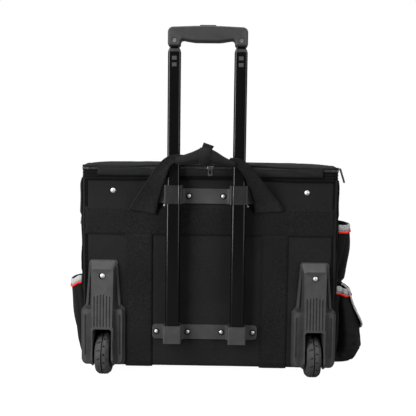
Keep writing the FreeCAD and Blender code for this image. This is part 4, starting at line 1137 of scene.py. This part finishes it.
def make_strap(word, body, place, webbing_node, wrap_node, keeper_node):
    """A carry strap: two webbing legs folded in half under a padded wrap. place() takes (x, reach, rise)."""
    for side, outer, inner in (("left", LEFT_OUTER, LEFT_INNER), ("right", RIGHT_OUTER, RIGHT_INNER)):
        pairs = [(a, b) if side == "left" else (b, a) for a, b in zip(outer, inner)]
        pieces = [(place(*a), place(*b)) for a, b in pairs]
        leg = ribbon("%s_strap_%s_leg" % (word, side), pieces, STRAP_T, STRAP, None,
                     steps=7, across=10, cup=-1.5)
        bend_foot(leg, place)
        if side == "left":
            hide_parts(webbing_node)
        left_edge = catmull([at(*p[0]) for p in pieces], 9)
        right_edge = catmull([at(*p[1]) for p in pieces], 9)
        for share, tag in ((0.07, "a"), (0.93, "b")):
            line = [a.lerp(b, share) for a, b in list(zip(left_edge, right_edge))[:52]]
            out = at(*place(0, 1, 0)) - at(*place(0, 0, 0))
            line = [p + out.normalized() * (STRAP_T / 2 * MM) for p in line]
            bend_foot(stitches("%s_strap_%s_stitches_%s" % (word, side, tag), line, out, None), place)
    stations = [(-58, 39, 89, 5.5, 3.5), (-50, 40, 89.5, 7, 6), (-40, 41, 91.5, 8.5, 8),
                (-24, 42, 95, 11, 9.5), (-8, 42.5, 97.8, 13.5, 10), (8, 42, 94, 10.8, 9.5),
                (24, 41, 88.5, 7, 8.0), (34, 40.5, 85.5, 5.5, 6), (42, 40, 83.5, 4.2, 3.5)]
    centre_line = catmull([Vector(s[:3]) for s in stations], 6)
    sizes = catmull([Vector((s[3], s[4], 0)) for s in stations], 6)
    rings = []
    for centre, size in zip(centre_line, sizes):
        ring = []
        for k in range(28):
            a = 2 * math.pi * k / 28
            up, out = math.sin(a), math.cos(a)
            ridge = 1.0 + 0.10 * max(up, 0) ** 6
            wobble = 1 + ripple(centre.x, 40 * out, 40 * up, 16, 0.10, 4.4)
            ring.append(at(*place(centre.x, centre.y + size.y * out * wobble * (1 - 0.25 * max(up, 0)),
                                  centre.z + size.x * up * ridge * wobble)))
        rings.append(ring)
    wrap = loft(word + "_grip_pad", rings, CLOTH, body)
    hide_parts(wrap_node)
    seam = [at(*place(c.x, c.y + s.y * 0.95, c.z - s.x * 0.35)) for c, s in zip(centre_line, sizes)][4:-6]
    cord_loop(word + "_grip_seam", seam, 0.9, CLOTH, body)
    make_keeper(word, body, place, keeper_node)


def make_keeper(word, body, place, keeper_node):
    """The band round the middle of the grip, with its hook-and-loop tab standing up on top."""
    rings = []
    for k in range(33):
        a = 2 * math.pi * k / 32
        up, out = math.sin(a), math.cos(a)
        ring = []
        for x, grow in ((-18.0, 0.2), (-17.0, 1.8), (-8.0, 2.4), (0.0, 1.6), (1.5, 0.0), (-8.0, -1.0)):
            middle, half = 97.4 - 0.05 * abs(x + 8), 13.2 - 0.07 * abs(x + 8)
            wrap_reach = 42.3 + (9.7 + grow) * out * (1 - 0.2 * max(up, 0))
            ring.append(at(*place(x, wrap_reach, middle + (half + grow) * up)))
        rings.append(ring)
    band = loft(word + "_keeper_band", rings, CLOTH, body, capped=(False, False))
    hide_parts(keeper_node)
    stations = []
    for rise, lean in ((105.5, 0.0), (109.5, 1.0), (113.5, 2.6), (117.5, 4.4)):
        tilt = (rise - 105.5) * 0.32
        stations.append(((-15.5 + lean, 42 + lean, rise + tilt * 0.6), (2.0 + lean, 42 + lean, rise - tilt)))
    tab_places = [(place(*a), place(*b)) for a, b in stations]
    tab = ribbon(word + "_keeper_tab", tab_places, 2.0, LINING, body, 4, 6)


def make_straps():
    make_strap("rear", "rear_strap", lambda x, reach, rise: (x, -reach, 296 + rise),
               "rear_strap_webbing", "rear_grip_wrap", "rear_grip_keeper")
    front_foot = (DEPTH + 1.6, 332)
    shift = WEB_X - HANDLE_X
    make_strap("front", "front_strap",
               lambda x, reach, rise: (x + shift, front_foot[0] + reach, front_foot[1] - rise),
               "front_strap_webbing", "front_grip_wrap", "front_grip_keeper")


# ---- studio ----
FLOOR_BOUNCE = 0.12


def make_studio():
    """A floor that reads as white paper yet lights the case only dimly, and big soft lamps on both sides."""
    mesh = bpy.data.meshes.new("floor")
    mesh.from_pydata([(-40, -40, 0), (40, -40, 0), (40, 40, 0), (-40, 40, 0)], [], [(0, 1, 2, 3)])
    floor = bpy.data.objects.new("floor", mesh)
    bpy.context.collection.objects.link(floor)
    material = bpy.data.materials.new("studio_floor")
    material.use_nodes = True
    tree = material.node_tree
    shader = tree.nodes["Principled BSDF"]
    shader.inputs["Base Color"].default_value = (0.1, 0.1, 0.1, 1)
    shader.inputs["Roughness"].default_value = 0.9
    shader.inputs["Emission Color"].default_value = (1, 1, 1, 1)
    path = tree.nodes.new("ShaderNodeLightPath")
    glow = tree.nodes.new("ShaderNodeMath")
    glow.operation = "MULTIPLY_ADD"
    glow.inputs[1].default_value = 0.98 - FLOOR_BOUNCE
    glow.inputs[2].default_value = FLOOR_BOUNCE
    tree.links.new(path.outputs["Is Camera Ray"], glow.inputs[0])
    tree.links.new(glow.outputs[0], shader.inputs["Emission Strength"])
    mesh.materials.append(material)
    bpy.context.scene.world = studio_world()
    bpy.context.scene.view_settings.view_transform = "Standard"
    lamps = [("left_soft", (-1.2, -1.15, 0.75), (0.8, 1.6), 42, 0.35),
             ("right_soft", (1.2, -1.15, 0.75), (0.8, 1.6), 15, 0.35),
             ("overhead", (0.0, -0.2, 1.9), (1.8, 1.4), 26, 0.2)]
    for name, place, size, power, aim_z in lamps:
        lamp = bpy.data.lights.new(name, "AREA")
        lamp.shape = "RECTANGLE"
        lamp.size, lamp.size_y = size
        lamp.energy = power
        obj = bpy.data.objects.new(name, lamp)
        obj.location = place
        obj.visible_camera = False
        aim = Vector((0, -0.1, aim_z)) - Vector(place)
        obj.rotation_euler = aim.to_track_quat("-Z", "Y").to_euler()
        bpy.context.collection.objects.link(obj)


def studio_world():
    """White where it is seen, and a dim grey where it lights the object, so that black paint stays black."""
    world = bpy.data.worlds.new("studio")
    world.use_nodes = True
    tree = world.node_tree
    seen = tree.nodes["Background"]
    seen.inputs["Color"].default_value = (1, 1, 1, 1)
    seen.inputs["Strength"].default_value = 1.0
    glow = tree.nodes.new("ShaderNodeBackground")
    glow.inputs["Color"].default_value = (1, 1, 1, 1)
    glow.inputs["Strength"].default_value = 0.15
    path = tree.nodes.new("ShaderNodeLightPath")
    mix = tree.nodes.new("ShaderNodeMixShader")
    tree.links.new(path.outputs["Is Camera Ray"], mix.inputs["Fac"])
    tree.links.new(glow.outputs["Background"], mix.inputs[1])
    tree.links.new(seen.outputs["Background"], mix.inputs[2])
    tree.links.new(mix.outputs["Shader"], tree.nodes["World Output"].inputs["Surface"])
    return world


def make_camera():
    """A 52 mm lens about a metre behind the case, level with the lid, looking slightly down."""
    camera = bpy.data.cameras.new("camera")
    camera.sensor_width = 36.0
    camera.lens = 52.0
    obj = bpy.data.objects.new("camera", camera)
    bpy.context.collection.objects.link(obj)
    bpy.context.scene.camera = obj
    pitch, yaw, roll = math.radians(4.43), math.radians(0.7), math.radians(0.75)
    ahead = Vector((-math.sin(yaw) * math.cos(pitch), math.cos(yaw) * math.cos(pitch), -math.sin(pitch)))
    right = Vector((math.cos(yaw), math.sin(yaw), 0))
    up = right.cross(ahead)
    side = right * math.cos(roll) + up * math.sin(roll)
    top = up * math.cos(roll) - right * math.sin(roll)
    place = at(-3.0, 0, 303.0) - ahead * 1.055
    basis = Matrix((side, top, -ahead)).transposed().to_4x4()
    obj.matrix_world = Matrix.Translation(place) @ basis


def make_rivet_shade_rings():
    """A dark ring round each rivet that stands on a bracket: painted shade for the recess round the rivet.
    """
    for bracket, rise in (("lower_bracket", 16.0), ("upper_bracket", 13.0)):
        z = inside(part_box(bracket)[0])[2] + rise
        for k, x in enumerate((-85.5, -30.0, 30.0, 85.5)):
            turns = [math.radians(15 * n) for n in range(24)]
            ring = [at(HANDLE_X + x + 4.4 * math.cos(a), -3.3, z + 4.4 * math.sin(a)) for a in turns]
            shade_ring = cord_loop("%s_washer_%d" % (bracket, k), ring, 0.9, SHADE_BLACK, "case", closed=True)


def make_socket_edges():
    """A bright strip and a dark line down the inner edge of each upper socket: a painted highlight and
    painted shade for the light and dark that the tube's rounded edge catches.
    """
    low, high = [inside(v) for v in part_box("upper_bracket")]
    tube_half = (inside(tube_high)[0] - inside(tube_low)[0]) / 2
    for side, word in ((-1, "left"), (1, "right")):
        x = HANDLE_X + side * (tube_half - 22.2)
        # A painted highlight strip, and beside it a painted shade line.
        for shift, radius, material, tag in ((0.0, 0.6, BRACKET_HIGHLIGHT, "strip"),
                                             (-side * 1.6, 0.8, SHADE_BLACK, "painted_shade_line")):
            line = [at(x + shift, low[1] + 0.1, z) for z in (low[2] + 0.5, high[2] - 0.5)]
            piece = cord_loop("socket_%s_%s" % (tag, word), line, radius, material, "case")


def paint_hardware():
    paint_nodes(PLASTIC, "left_wheel_housing", "right_wheel_housing", "left_hub", "right_hub", "front_feet",
                "middle_tube_collars", "middle_tube_glides", "inner_tube_plugs")
    paint_nodes(BRACKET, "lower_bracket")
    paint_nodes(front_shaded_moulded("socket_plastic_front_shaded", (0.028, 0.028, 0.0282), 0.4, "upper_bracket"), "upper_bracket")
    paint_nodes(GRIP, "grip_rear_shell", "grip_front_shell", "release_button")
    paint_nodes(BOARD, "back_board", "base_board")
    paint_nodes(TUBE, "outer_tubes", "middle_tubes", "inner_tubes")
    paint_nodes(ZINC, "rivets")
    paint_nodes(STEEL, "grip_screws", "wheel_axles", "lower_lock_pins", "upper_lock_pins", "push_rods")
    paint_nodes(NICKEL, "rear_zip_slider", "rear_zip_pull",
                "side_zip_slider", "side_zip_pull", "front_zip_slider")
    paint_nodes(TYRE, "left_tyre", "right_tyre")


make_box()
make_piping()
make_bands()
make_zip()
make_rim_flap()
make_lid()
make_hinge_strip()
make_side_pockets()
make_flap()
make_front_pockets()
make_sleeve()
make_front_pouch()
make_straps()
make_rivet_shade_rings()
make_socket_edges()
paint_hardware()
make_studio()
make_camera()
